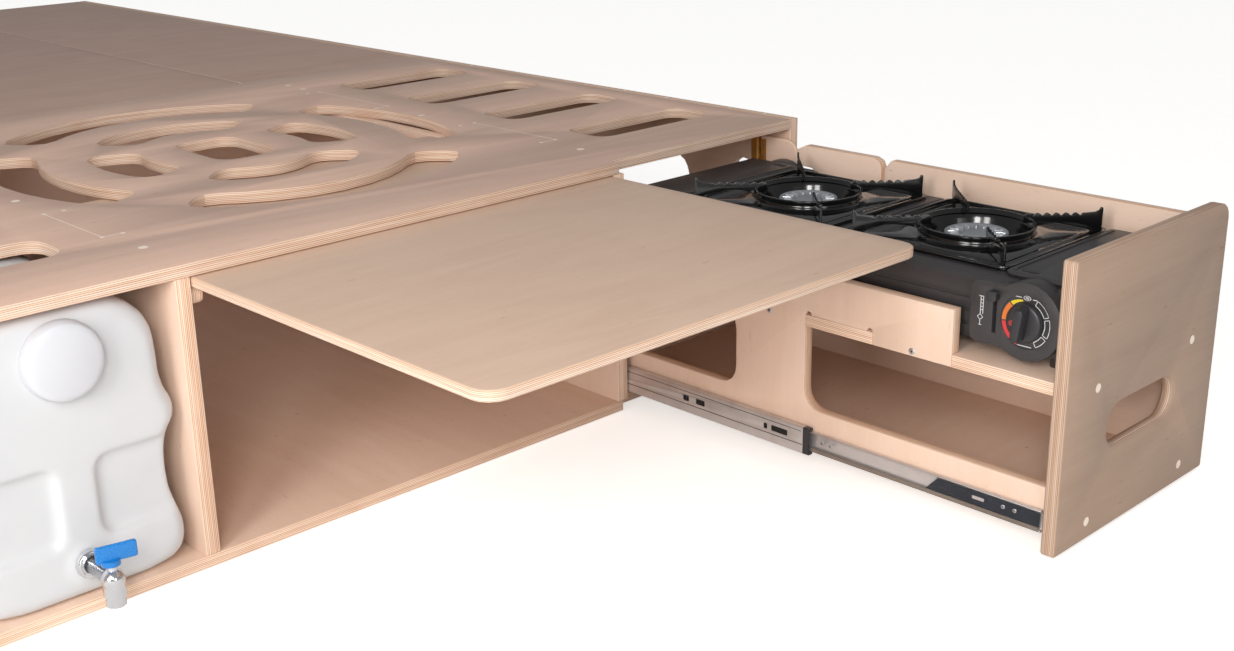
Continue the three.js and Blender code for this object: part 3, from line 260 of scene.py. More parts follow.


# The front deck and rear deck tones are one deck finish in two shades: the front deck tone is lifted as
# painted light, and the rear deck tone is kept darker as painted shade that falls off towards the back.
FACE_COLOURS = {
    Tone.OILED: (srgb(238, 212, 194), srgb(224, 191, 168)),
    Tone.TABLE: (srgb(224, 196, 174), srgb(204, 173, 151)),
    Tone.DECK_PAINTED_LIGHT: (srgb(236, 202, 182), srgb(210, 173, 153)),
    Tone.REAR_PAINTED_SHADE: (srgb(208, 176, 159), srgb(180, 147, 131)),
    Tone.FRONT: (srgb(188, 161, 141), srgb(162, 136, 117)),
}
FACE_ROUGHNESS = {Tone.OILED: 0.5, Tone.TABLE: 0.42, Tone.DECK_PAINTED_LIGHT: 0.44, Tone.REAR_PAINTED_SHADE: 0.4,
                  Tone.FRONT: 0.45}
EDGE_SHADES = {Tone.OILED: 1.0, Tone.TABLE: 0.9, Tone.DECK_PAINTED_LIGHT: 0.86, Tone.REAR_PAINTED_SHADE: 0.84, Tone.FRONT: 0.66}
VENEER = 2.1 * MM


@dataclass(frozen=True)
class Plywood:
    """Birch plywood: softly figured faces, and edges that show each ply."""

    axis: int
    base: float
    thickness: float
    grain: int
    tone: Tone
    seed: float = 0.0

    @property
    def plies(self) -> int:
        """Return how many veneers this thickness has."""
        count = round(self.thickness / VENEER)
        return count if count % 2 else count + 1

    def stretched(self, along: float, across: float, through: float) -> Point:
        """Turn a scale that follows the grain into one along x, y and z.

        Args:
            along: Scale along the grain.
            across: Scale across the grain, in the board's face.
            through: Scale through the board's thickness.

        Returns:
            The scale along x, y and z.
        """
        scale = [across, across, across]
        scale[self.grain] = along
        scale[self.axis] = through
        return (scale[0], scale[1], scale[2])

    def face(self, graph: Graph, place: Signal, fibre: Signal) -> Signal:
        """Colour the face: watered figure, growth lines, streaks, pores and a few flecks.

        Args:
            graph: The material that is being built.
            place: The board's own coordinates.
            fibre: Fine noise along the grain.

        Returns:
            The face colour.
        """
        drift = (self.seed * 1.7, self.seed * 3.1, self.seed * 0.9)
        swirl = graph.noise(graph.scaled(place, self.stretched(1.6, 7.0, 2.0), drift), 1.0, 3.0, 0.5, 0.6)
        lines = (swirl * 34.0).sine() * 0.5 + 0.5
        water = graph.noise(graph.scaled(place, self.stretched(14.0, 5.0, 4.0), drift), 1.0, 2.0, 0.5)
        cloud = graph.noise(graph.scaled(place, (1.0, 1.0, 1.0), drift), 2.6, 2.0)
        streak = graph.noise(graph.scaled(place, self.stretched(2.2, 60.0, 60.0), drift), 1.0, 2.0, 0.55)
        figure = lines * 0.16 + water * 0.26 + cloud * 0.3 + streak * 0.4 + fibre * 0.26 - 0.19
        pale, dark = FACE_COLOURS[self.tone]
        face = graph.mix(figure.clamped(), pale, dark)
        pores = graph.noise(graph.scaled(place, self.stretched(70.0, 900.0, 900.0)), 1.0, 1.0)
        face = graph.mix(pores.smooth(0.66, 0.78) * 0.22, face, srgb(146, 104, 78))
        fleck = graph.noise(graph.scaled(place, self.stretched(40.0, 210.0, 100.0), drift), 1.0, 1.0)
        return graph.mix(fleck.smooth(0.76, 0.82) * 0.4, face, srgb(134, 92, 66))

    def edge(self, graph: Graph, place: Signal) -> tuple[Signal, Signal]:
        """Colour the edge, ply by ply.

        Args:
            graph: The material that is being built.
            place: The board's own coordinates.

        Returns:
            The edge colour, and the glue lines between the plies as a mask.
        """
        depth = (graph.along(place, self.axis) - self.base) / (self.thickness / self.plies)
        ply = depth.floor()
        seam = abs((depth % 1.0) - 0.5).smooth(0.26, 0.48)
        cast = graph.noise(graph.combine(ply * 2.7, ply * 1.3, self.seed), 1.0, 0.0)
        ragged = graph.noise(graph.scaled(place, self.stretched(9.0, 9.0, 300.0)), 1.0, 2.0, 0.6)
        blotch = graph.noise(place, 16.0, 2.0)
        colour = graph.mix(((cast - 0.34) * 3.0).clamped(), srgb(252, 230, 210), srgb(236, 196, 164))
        colour = graph.mix((ragged * 1.6 - 0.5).clamped() * 0.5, colour, srgb(232, 188, 158))
        colour = graph.mix(blotch.smooth(0.5, 0.8) * 0.3, colour, srgb(222, 178, 148))
        joint = seam * (ragged * 1.5).clamped()
        banded = graph.mix(joint, colour, srgb(150, 92, 64))
        return graph.shade(banded, EDGE_SHADES[self.tone]), joint

    def material(self) -> bpy.types.Material:
        """Build the material.

        Returns:
            The finished material.
        """
        graph = Graph(f"plywood_{self.tone.value}_{self.axis}_{round(self.base / MM)}")
        place = graph.coordinates()
        facing = abs(graph.along(graph.normal(), self.axis)).smooth(0.5, 0.8)
        fibre = graph.noise(graph.scaled(place, self.stretched(10.0, 420.0, 420.0)), 1.0, 3.0, 0.6)
        edge, joint = self.edge(graph, place)
        side = 1.0 - facing
        relief = fibre * 0.5 + joint * side * 0.6
        return graph.surface(
            Base_Color=graph.mix(facing, edge, self.face(graph, place, fibre)),
            Roughness=fibre * 0.14 + (FACE_ROUGHNESS[self.tone] - 0.07) + side * 0.14,
            Normal=graph.bump(relief, 0.22, 0.0004),
            Specular_IOR_Level=0.3,
        )


@dataclass(frozen=True)
class Metal:
    """A metal with fine scratches or casting grain."""

    name: str
    colour: Colour
    dull: Colour
    roughness: float
    grain: Point
    relief: float = 0.15
    metallic: float = 1.0

    def material(self) -> bpy.types.Material:
        """Build the material.

        Returns:
            The finished material.
        """
        graph = Graph(self.name)
        place = graph.coordinates()
        brushed = graph.noise(graph.scaled(place, self.grain), 1.0, 3.0, 0.6)
        stain = graph.noise(place, 14.0, 4.0, 0.6).smooth(0.42, 0.75)
        return graph.surface(
            Base_Color=graph.mix(stain * 0.6 + brushed * 0.2, srgb(*self.colour), srgb(*self.dull)),
            Roughness=(brushed * 0.2 + stain * 0.12 + (self.roughness - 0.12)).clamped(),
            Metallic=self.metallic,
            Normal=graph.bump(brushed, self.relief, 0.0002),
        )


@dataclass(frozen=True)
class Moulded:
    """A moulded plastic, enamel or paint with a faint texture."""

    name: str
    colour: Colour
    worn: Colour
    roughness: float
    texture_scale: float
    relief: float
    coat: float = 0.0
    subsurface: float = 0.0

    def material(self) -> bpy.types.Material:
        """Build the material.

        Returns:
            The finished material.
        """
        graph = Graph(self.name)
        place = graph.coordinates()
        stipple = graph.noise(place, self.texture_scale, 2.0, 0.55)
        patch = graph.noise(place, 9.0, 3.0, 0.55).smooth(0.35, 0.8)
        dust = graph.noise(place, 260.0, 2.0, 0.7).smooth(0.7, 0.82)
        return graph.surface(
            Base_Color=graph.mix((patch * 0.7 + dust * 0.35).clamped(), srgb(*self.colour), srgb(*self.worn)),
            Roughness=(stipple * 0.14 + patch * 0.08 + (self.roughness - 0.1)).clamped(),
            Normal=graph.bump(stipple, self.relief, 0.0003),
            Coat_Weight=self.coat,
            Coat_Roughness=0.08,
            Subsurface_Weight=self.subsurface,
            Subsurface_Radius=(0.02, 0.02, 0.02),
        )


Finish = Union[Metal, Moulded]

ZINC = Metal("zinc_plated_steel", (222, 217, 216), (188, 180, 178), 0.34, (30.0, 9.0, 900.0), 0.12, 0.75)
# Darkened steel: painted shade along the pressed grooves and a painted dark reflection on the cover plate.
SHADE_REFLECTION_ZINC = Metal("steel_painted_shade_and_reflection", (70, 74, 82), (46, 50, 58), 0.3, (30.0, 9.0, 700.0), 0.1, 0.8)
# Brown-grey steel: painted shade on the inner member's lower flange.
LIP_SHADE_ZINC = Metal("slide_lip_steel_painted_shade", (150, 138, 128), (118, 106, 98), 0.4, (30.0, 9.0, 900.0), 0.12, 0.6)
BRASS = Metal("brass", (232, 184, 104), (192, 138, 66), 0.34, (200.0, 200.0, 60.0), 0.15, 0.85)
CAST = Metal("cast_aluminium", (160, 163, 168), (132, 135, 140), 0.55, (700.0, 700.0, 700.0), 0.3, 0.5)
CHROME = Metal("chrome", (222, 224, 228), (190, 192, 198), 0.16, (60.0, 60.0, 60.0), 0.05, 0.9)
# The ribs are the burner's own cast aluminium, painted far paler than the head as a painted highlight.
RIB_HIGHLIGHT_CAST = Metal("cast_ribs_painted_highlight", (232, 234, 238), (206, 208, 212), 0.3, (400.0, 400.0, 400.0), 0.2, 0.7)
SCREW = Metal("screw_steel", (206, 206, 208), (150, 148, 146), 0.3, (500.0, 500.0, 500.0), 0.15, 0.8)
PLUG = Metal("plug_wood", (255, 240, 226), (242, 218, 198), 0.55, (300.0, 300.0, 300.0), 0.1, 0.0)
STOVE_PAINT = Moulded("stove_paint", (55, 53, 54), (66, 63, 64), 0.42, 900.0, 0.3, 0.1)
ENAMEL = Moulded("black_enamel", (13, 13, 14), (18, 18, 20), 0.16, 46.0, 0.05, 0.5)
IRON = Moulded("pan_support_enamel", (13, 13, 14), (20, 20, 22), 0.22, 700.0, 0.25, 0.3)
BLACK_PLASTIC = Moulded("black_plastic", (46, 45, 48), (60, 60, 63), 0.34, 700.0, 0.15)
HOLE_BLACK = Moulded("shadowed_hole", (12, 12, 13), (18, 18, 20), 0.7, 300.0, 0.1)
TANK = Moulded("tank_plastic", (212, 213, 215), (203, 205, 209), 0.42, 420.0, 0.12, 0.0, 0.12)
CAP = Moulded("cap_plastic", (210, 211, 216), (204, 205, 211), 0.5, 500.0, 0.1)
BLUE = Moulded("blue_plastic", (20, 122, 200), (12, 100, 172), 0.3, 300.0, 0.08, 0.3)
PRINT_WHITE = Moulded("white_print", (214, 214, 216), (196, 196, 200), 0.5, 300.0, 0.05)
PRINT_YELLOW = Moulded("yellow_print", (226, 200, 44), (216, 186, 40), 0.5, 300.0, 0.05)
PRINT_ORANGE = Moulded("orange_print", (222, 120, 48), (210, 108, 42), 0.5, 300.0, 0.05)
PRINT_RED = Moulded("red_print", (214, 60, 62), (200, 52, 56), 0.5, 300.0, 0.05)


# Mesh building


Loop = Sequence[Point]
Pair = tuple[float, float]
Outline = Sequence[Pair]
Box = tuple[float, float, float, float]
Nudge = tuple[Point, Point, Point]
TINY = 1e-9
WELD = 1e-6
CAD_WELD = 2e-6
FLAT_DEG = 0.6
AREA_SLACK = 0.002
SHARP_DEG = 40.0
SOFT_DEG = 35.0
ROUND_DEG = 50.0
BAND_STEP_DEG = 4
CORNER_STEPS = 6


def ring_loop(radius: float, height: float, count: int) -> list[Point]:
    """Draw a circle about local Z.

    Args:
        radius: The circle's radius.
        height: Its place along Z.
        count: How many points it has.

    Returns:
        The circle's points, or its centre alone where the radius is zero.
    """
    if radius < TINY:
        return [(0.0, 0.0, height)]
    turns = [2 * math.pi * step / count for step in range(count)]
    return [(radius * math.cos(turn), radius * math.sin(turn), height) for turn in turns]


def box_loop(width: float, depth: float, corner: float, height: float, count: int) -> list[Point]:
    """Draw a rounded rectangle about local Z, with its points spread evenly by direction.

    Args:
        width: Its size along X.
        depth: Its size along Y.
        corner: Radius of its corners.
        height: Its place along Z.
        count: How many points it has.

    Returns:
        The rectangle's points.
    """
    points = []
    for step in range(count):
        turn = 2 * math.pi * step / count
        along, over = math.cos(turn), math.sin(turn)
        reach = min(width / 2 / max(abs(along), TINY), depth / 2 / max(abs(over), TINY))
        middle_x, middle_y = width / 2 - corner, depth / 2 - corner
        if abs(along) * reach > middle_x and abs(over) * reach > middle_y:
            shadow = abs(along) * middle_x + abs(over) * middle_y
            reach = shadow + math.sqrt(max(shadow**2 - middle_x**2 - middle_y**2 + corner**2, 0.0))
        points.append((along * reach, over * reach, height))
    return points


def slot_loop(width: float, height: float, corner: float, level: float) -> list[Point]:
    """Draw a rounded rectangle about local Z, with all its points in the corners.

    Args:
        width: Its size along X.
        height: Its size along Y.
        corner: Radius of its corners.
        level: Its place along Z.

    Returns:
        The rectangle's points.
    """
    points = []
    for quarter in range(4):
        middle_x = (width / 2 - corner) * (1 if quarter in (0, 3) else -1)
        middle_y = (height / 2 - corner) * (1 if quarter in (0, 1) else -1)
        for step in range(CORNER_STEPS + 1):
            turn = math.pi / 2 * (quarter + step / CORNER_STEPS)
            points.append((middle_x + corner * math.cos(turn), middle_y + corner * math.sin(turn), level))
    return points


def corners_of(box: Box) -> list[Pair]:
    """Return the corners of a rectangle given by its two places along X and its two along Y."""
    x0, x1, y0, y1 = box
    return [(x0, y0), (x1, y0), (x1, y1), (x0, y1)]


class Shape:
    """A mesh in the making."""

    def __init__(self) -> None:
        """Start empty."""
        self.mesh = bmesh.new()

    def loft(self, loops: Sequence[Loop], place: Matrix, closed: bool = False) -> "Shape":
        """Join closed loops of points one after another.

        Args:
            loops: Loops of as many points each; a loop of one point is a pole.
            place: Puts the points in the box's frame.
            closed: True to join the last loop to the first, else the ends are closed flat.

        Returns:
            This shape.
        """
        rows = [[self.mesh.verts.new(place @ Vector(spot)) for spot in loop] for loop in loops]
        pairs = list(zip(rows, rows[1:]))
        if closed:
            pairs.append((rows[-1], rows[0]))
        for low, high in pairs:
            count = max(len(low), len(high))
            for step in range(count):
                ahead = (step + 1) % count
                near = [low[step % len(low)], low[ahead % len(low)]]
                far = [high[ahead % len(high)], high[step % len(high)]]
                unique = list(dict.fromkeys(near + far))
                if len(unique) > 2:
                    self.mesh.faces.new(unique)
        if not closed:
            for end in (rows[0], rows[-1]):
                if len(end) > 2:
                    self.mesh.faces.new(end)
        return self

    def lathe(self, profile: Outline, place: Matrix, count: int = 96) -> "Shape":
        """Add a turned solid from radius and height pairs, closed on the axis or into a ring."""
        loops = [ring_loop(radius, height, count) for radius, height in profile]
        return self.loft(loops, place, closed=min(profile[0][0], profile[-1][0]) > TINY)

    def plate(self, outline: Outline, low: float, high: float, place: Matrix) -> "Shape":
        """Add a flat plate between two heights."""
        return self.loft([[(x, y, level) for x, y in outline] for level in (low, high)], place)

    def band(self, inner: float, outer: float, turns_deg: Pair, high: float, place: Matrix,
             outer_end: Optional[float] = None) -> "Shape":
        """Add a flat arc.

        Args:
            inner: Its inner radius.
            outer: Its outer radius where it starts.
            turns_deg: Where it starts and ends.
            high: Its thickness.
            place: Puts the points in the box's frame.
            outer_end: Its outer radius where it ends, if that is another one.

        Returns:
            This shape.
        """
        start, end = turns_deg
        steps = max(2, round(abs(end - start) / BAND_STEP_DEG))
        last = outer if outer_end is None else outer_end
        shares = [step / steps for step in range(steps + 1)]
        far = [(outer + (last - outer) * share, math.radians(start + (end - start) * share))
               for share in shares]
        near = [(inner, turn) for _, turn in reversed(far)]
        outline = [(radius * math.cos(turn), radius * math.sin(turn)) for radius, turn in far + near]
        return self.plate(outline, 0.0, high, place)

    def finish(self, name: str, material: bpy.types.Material, smooth_deg: float = SOFT_DEG,
               ease: float = 0.0) -> bpy.types.Object:
        """Close the mesh and make it an object.

        Args:
            name: Name of the object and its mesh.
            material: Its finish.
            smooth_deg: Edges sharper than this stay sharp.
            ease: How far the edges are rounded, in metres.

        Returns:
            The object, at the origin.
        """
        bmesh.ops.remove_doubles(self.mesh, verts=self.mesh.verts, dist=WELD)
        bmesh.ops.recalc_face_normals(self.mesh, faces=self.mesh.faces)
        data = bpy.data.meshes.new(name)
        self.mesh.to_mesh(data)
        self.mesh.free()
        if ease > 0:
            data = reworked(data, name, lambda draft: add_bevel(draft, ease))
        return new_object(name, data, material, smooth_deg)


def new_object(name: str, data: bpy.types.Mesh, material: bpy.types.Material,
               smooth_deg: float) -> bpy.types.Object:
    """Put a mesh in the scene.

    Args:
        name: Name of the object.
        data: Its mesh.
        material: Its finish.
        smooth_deg: Edges sharper than this stay sharp.

    Returns:
        The object, at the origin.
    """
    made = bpy.data.objects.new(name, data)
    bpy.context.scene.collection.objects.link(made)
    data.materials.clear()
    data.materials.append(material)
    data.polygons.foreach_set("use_smooth", [True] * len(data.polygons))
    data.set_sharp_from_angle(angle=math.radians(smooth_deg))
    return made


def add_bevel(draft: bpy.types.Object, width: float) -> None:
    """Round the sharp edges of an object.

    Args:
        draft: The object.
        width: How far its edges are rounded, in metres.
    """
    modifier = draft.modifiers.new("ease", "BEVEL")
    modifier.width = width
    modifier.segments = 2
    modifier.limit_method = "ANGLE"
    modifier.angle_limit = math.radians(SHARP_DEG)
    modifier.use_clamp_overlap = True


def reworked(data: bpy.types.Mesh, name: str, change: Callable[[bpy.types.Object], None]) -> bpy.types.Mesh:
    """Run modifiers on a mesh.

    Args:
        data: The mesh.
        name: Name of the new mesh.
        change: Adds the modifiers to an object that holds the mesh.

    Returns:
        The changed mesh, plain.
    """
    draft = bpy.data.objects.new(f"{name}_draft", data)
    bpy.context.scene.collection.objects.link(draft)
    change(draft)
    graph = bpy.context.evaluated_depsgraph_get()
    result = bpy.data.meshes.new_from_object(draft.evaluated_get(graph))
    result.name = name
    bpy.data.objects.remove(draft)
    return result


def merged_mesh(node: str, name: str, nudges: Sequence[Nudge] = ()) -> bpy.types.Mesh:
    """Copy a CAD node's mesh with its triangles joined and its flat faces dissolved.

    Args:
        node: Name of the CAD node.
        name: Name of the new mesh.
        nudges: Low and high corner of each region whose corners are shifted, and the shift.

    Returns:
        The new mesh, left as triangles where dissolving would change its area.
    """
    work = bmesh.new()
    work.from_mesh(frame["nodes"][node].data)
    bmesh.ops.remove_doubles(work, verts=work.verts, dist=CAD_WELD)
    for corner in work.verts if nudges else ():
        spot = corner.co.copy()
        for low, high, shift in nudges:
            if all(low[axis] <= spot[axis] <= high[axis] for axis in range(3)):
                corner.co += Vector(shift)
    whole = sum(face.calc_area() for face in work.faces)
    flat = work.copy()
    bmesh.ops.dissolve_limit(flat, angle_limit=math.radians(FLAT_DEG), verts=flat.verts, edges=flat.edges)
    kept = abs(sum(face.calc_area() for face in flat.faces) / whole - 1.0) < AREA_SLACK
    data = bpy.data.meshes.new(name)
    (flat if kept else work).to_mesh(data)
    work.free()
    flat.free()
    return data


def settle(piece: bpy.types.Object, body: str, replaced: Sequence[str] = ()) -> None:
    """Let a finished piece ride on its body and report it.

    Args:
        piece: The piece.
        body: Body that it rides on.
        replaced: CAD nodes that it stands for.
    """
    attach(piece, body)
    if replaced:
        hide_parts(*replaced)
    LOG.info("%s rides on %s, %d faces", piece.name, body, len(piece.data.polygons))


def eased(node: str, name: str, width: float, material: bpy.types.Material,
          nudges: Sequence[Nudge] = ()) -> None:
    """Replace a CAD node by the same shape with its sharp edges rounded over."""
    data = reworked(merged_mesh(node, name, nudges), name, lambda draft: add_bevel(draft, width))
    settle(new_object(name, data, material, SHARP_DEG), frame["nodes"][node]["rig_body"], [node])


def dress(node: str, material: bpy.types.Material) -> None:
    """Give a carried-over CAD node its material.

    Args:
        node: Name of the node.
        material: Its finish.
    """
    carried = frame["nodes"][node]
    carried.data.materials.clear()
    carried.data.materials.append(material)
    LOG.info("%s dressed in %s", node, material.name)


# Repeated pieces, made by Geometry Nodes


class Repeater:
    """A Geometry Nodes tree that sets one small solid on each of a list of points."""

    def __init__(self, kind: str, sizes: dict[str, float], radial: bool = False) -> None:
        """Keep the solid's node type and sizes.

        Args:
            kind: Geometry node that makes the solid.
            sizes: The solid's inputs by name.
            radial: True to turn each solid so its local X points away from the middle of the points.
        """
        self.kind = kind
        self.sizes = sizes
        self.radial = radial

    def _tree(self, material: bpy.types.Material) -> bpy.types.NodeTree:
        """Build the node tree with its named inputs.

        Args:
            material: Finish of every solid.

        Returns:
            The tree.
        """
        tree = bpy.data.node_groups.new("repeater", "GeometryNodeTree")
        face = tree.interface
        face.new_socket("Geometry", in_out="INPUT", socket_type="NodeSocketGeometry")
        face.new_socket("Turn", in_out="INPUT", socket_type="NodeSocketRotation")
        face.new_socket("Middle", in_out="INPUT", socket_type="NodeSocketVector")
        face.new_socket("Geometry", in_out="OUTPUT", socket_type="NodeSocketGeometry")
        start = tree.nodes.new("NodeGroupInput")
        end = tree.nodes.new("NodeGroupOutput")
        unit = tree.nodes.new(self.kind)
        for name, value in self.sizes.items():
            unit.inputs[name].default_value = value
        spread = tree.nodes.new("GeometryNodeInstanceOnPoints")
        if self.radial:
            spot = tree.nodes.new("GeometryNodeInputPosition")
            away = tree.nodes.new("ShaderNodeVectorMath")
            away.operation = "SUBTRACT"
            tree.links.new(spot.outputs[0], away.inputs[0])
            tree.links.new(start.outputs["Middle"], away.inputs[1])
            align = tree.nodes.new("FunctionNodeAlignRotationToVector")
            align.axis = "X"
            align.pivot_axis = "Z"
            tree.links.new(start.outputs["Turn"], align.inputs["Rotation"])
            tree.links.new(away.outputs[0], align.inputs["Vector"])
            tree.links.new(align.outputs[0], spread.inputs["Rotation"])
        else:
            tree.links.new(start.outputs["Turn"], spread.inputs["Rotation"])
        real = tree.nodes.new("GeometryNodeRealizeInstances")
        paint = tree.nodes.new("GeometryNodeSetMaterial")
        paint.inputs["Material"].default_value = material
        tree.links.new(start.outputs["Geometry"], spread.inputs["Points"])
        tree.links.new(unit.outputs[0], spread.inputs["Instance"])
        tree.links.new(spread.outputs[0], real.inputs[0])
        tree.links.new(real.outputs[0], paint.inputs[0])
        tree.links.new(paint.outputs[0], end.inputs[0])
        return tree

    def build(self, name: str, points: Iterable[Point], material: bpy.types.Material,
              turn: Point = (0.0, 0.0, 0.0), ease: float = 0.0) -> bpy.types.Object:
        """Make the repeated solids.

        Args:
            name: Name of the finished object.
            points: Where each solid's centre goes, in metres.
            material: Finish of every solid.
            turn: Euler angles that turn local Z to the solid's axis.
            ease: How far the edges are rounded.

        Returns:
            One plain mesh object at the origin.
        """
        spots = [Vector(spot) for spot in points]
        data = bpy.data.meshes.new(f"{name}_points")
        data.from_pydata([tuple(spot) for spot in spots], [], [])
        middle = sum(spots, Vector()) / len(spots)
        tree = self._tree(material)
        values = {"Turn": turn, "Middle": tuple(middle)}

        def repeat(holder: bpy.types.Object) -> None:
            """Add the tree as a modifier and set its inputs.

            Args:
                holder: Object that holds the points.
            """
            modifier = holder.modifiers.new("repeat", "NODES")
            modifier.node_group = tree
            for item in tree.interface.items_tree:
                if item.in_out == "INPUT" and item.name in values:
                    modifier[item.identifier] = values[item.name]

        mesh = reworked(data, name, repeat)
        if ease > 0:
            mesh = reworked(mesh, name, lambda draft: add_bevel(draft, ease))
        return new_object(name, mesh, material, SOFT_DEG)


def discs(radius: float, height: float, sides: int = 32) -> Repeater:
    """Return a repeater of short round discs."""
    return Repeater("GeometryNodeMeshCylinder", {"Vertices": sides, "Radius": radius, "Depth": height})


# Sub-assemblies


@dataclass
class Boards:
    """Every plywood board: which way its grain runs and how its face is treated, with painted light on the
    front deck and painted shade on the rear decks.

    The nudges shift corners of a visible board to where the photograph shows them; each one gives a region's
    low and high corner and the shift.
    """

    edge_round: float = 0.8 * MM
    deck_round: float = 1.4 * MM
    nudges: dict[str, tuple[Nudge, ...]] = field(default_factory=lambda: {
        "drawer_right_side": (
            ((0.6, -0.11, 0.215), (0.7, 0.0, 0.4), (0.0, 0.019, 0.0)),
            ((0.6, -0.058, 0.315), (0.7, -0.056, 0.325), (0.0, 0.0, 0.007)),
            ((0.6, -0.193, 0.33), (0.7, -0.192, 0.34), (0.0, 0.0185, 0.0)),
            ((0.6, -0.198, 0.33), (0.7, -0.197, 0.332), (0.0, 0.0135, -0.001)),
            ((0.6, -0.2, 0.23), (0.7, -0.199, 0.322), (0.0, 0.011, 0.0)),
            ((0.6, -0.205, 0.23), (0.7, -0.204, 0.322), (0.0, 0.01, 0.0)),
            ((0.6, -0.212, 0.33), (0.7, -0.211, 0.34), (0.0, 0.0065, 0.0)),
        ),
        "drawer_left_side": (((0.3, -0.7, 0.017), (0.35, 0.1, 0.0185), (0.0, 0.0, 0.0085)),),
        "wind_flap": (((0.6, -0.02, 0.2), (0.7, 0.02, 0.4), (0.0, 0.007, 0.0)),),
        "right_end_panel": (
            ((0.6, 0.255, 0.275), (0.71, 0.49, 0.29), (0.0, 0.0, -0.0118)),
            ((0.6, 0.24, 0.275), (0.71, 0.254, 0.28), (0.0, 0.005, -0.0104)),
            ((0.6, 0.23, 0.265), (0.71, 0.239, 0.274), (0.0, 0.0075, -0.0081)),
            ((0.6, 0.222, 0.25), (0.71, 0.229, 0.26), (0.0, 0.0092, -0.0055)),
            ((0.6, 0.215, 0.235), (0.71, 0.222, 0.245), (0.0, 0.0097, -0.0027)),
            ((0.6, 0.491, 0.265), (0.71, 0.53, 0.28), (0.0, 0.0, -0.009)),
        ),
    })
    tones: dict[str, Tone] = field(default_factory=lambda: {
        # The front deck gets the tone with painted light, and the rear decks get the tone with painted shade.
        "front_deck": Tone.DECK_PAINTED_LIGHT, "rear_deck_left": Tone.REAR_PAINTED_SHADE, "rear_deck_middle": Tone.REAR_PAINTED_SHADE,
        "rear_deck_right": Tone.REAR_PAINTED_SHADE, "table_board": Tone.TABLE, "drawer_front": Tone.FRONT,
        "left_end_panel": Tone.TABLE, "right_end_panel": Tone.TABLE, "tail_board": Tone.TABLE,
    })
    grain: dict[str, int] = field(default_factory=lambda: {
        "front_deck": 0, "rear_deck_left": 0, "rear_deck_middle": 0, "rear_deck_right": 0, "table_board": 0,
        "drawer_front": 0, "left_divider": 2, "right_divider": 2, "left_end_panel": 1, "right_end_panel": 1,
        "base_panel": 1, "drawer_left_side": 2, "drawer_right_side": 1, "drawer_bottom": 0, "drawer_back": 0,
        "stove_shelf": 0, "bulkhead_left": 0, "bulkhead_middle": 0, "bulkhead_right": 0, "tail_board": 0,
        "table_runner_left": 1, "table_runner_right": 1, "slide_packer": 1, "wind_flap": 1,
    })

    def finish_for(self, node: str, seed: float) -> Plywood:
        """Work out a board's finish from its own box.

        Args:
            node: Name of the board's CAD node.
            seed: Sets the figure of this board.

        Returns:
            The finish.
        """
        low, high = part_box(node)
        size = high - low
        axis = min(range(3), key=lambda index: size[index])
        return Plywood(axis, low[axis], size[axis], self.grain[node], self.tones.get(node, Tone.OILED), seed)

    def build(self) -> None:
        """Replace each board by one with eased edges and its own figure."""
        for seed, node in enumerate(sorted(self.grain)):
            width = self.deck_round if node in ("front_deck", "table_board") else self.edge_round
            slot = "ply_face" if node in self.tones else "ply_pale"
            finish = self.finish_for(node, float(seed)).material()
            eased(node, f"{node}_board", width, finish, self.nudges.get(node, ()))


@dataclass
class DeckMarks:
    """Flush plugs over the screws and the filled outlines of the divider tenons, in millimetres."""

    radius: float = 5.5
    small: float = 3.0
    proud: float = 0.06
    thick: float = 1.0
    line: float = 1.3
    dot_sides: int = 20
    plugs: tuple[Pair, ...] = (
        (-342, 411), (-335, 94), (333, 473), (330, 103), (345, 874), (342, 822),
    )
    edge_plugs: tuple[float, ...] = (78, 149, 289, 386, 484, 798, 856)
    tenons: tuple[Box, ...] = (
        (-346.5, -321.5, 168, 320), (323, 350, 178, 363), (322, 345, 578, 776),
    )
    front_plugs: tuple[Pair, ...] = ((387, 190), (607, 190), (387, 27), (607, 27))

    def build(self) -> None:
        """Set the plugs and draw the tenon outlines."""
        _, deck_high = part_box("front_deck")
        front_low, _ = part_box("drawer_front")
        wood = PLUG.material()
        thick = self.thick
        height = deck_high.z + (self.proud - thick / 2) * MM
        deck = [(x * MM, y * MM, height) for x, y in self.plugs]
        settle(discs(self.radius * MM, thick * MM).build("deck_plugs", deck, wood), "carcass")
        wall = sum(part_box("right_end_panel"), Vector()).x / 2
        rim = [(wall, y * MM, height) for y in self.edge_plugs]
        settle(discs(self.small * MM, thick * MM).build("wall_plugs", rim, wood), "carcass")
        dots = [(x * MM, y * MM, height) for left, right, near, far in self.tenons
                for x, y in ((left, near), (right, near), (left, far), (right, far))]
        corners = discs(self.small * MM, thick * MM, self.dot_sides).build("tenon_corners", dots, wood)
        settle(corners, "carcass")
        lines = Shape()
        place = Matrix.Translation((0, 0, deck_high.z)) @ Matrix.Scale(MM, 4)
        half = self.line / 2
        for left, right, near, far in self.tenons:
            outside = left if left < 0 else right
            strokes = ((outside - half, outside + half, near, far), (left, right, near - half, near + half))
            for stroke in strokes:
                lines.plate(corners_of(stroke), -thick / 2, self.proud / 2, place)
        settle(lines.finish("tenon_outlines", wood), "carcass")
        face = front_low.y - (self.proud - thick / 2) * MM
        front = [(x * MM, face, z * MM) for x, z in self.front_plugs]
        turn = (math.pi / 2, 0, 0)
        plugs = discs(self.radius * MM, thick * MM).build("front_plugs", front, wood, turn)
        settle(plugs, "drawer")


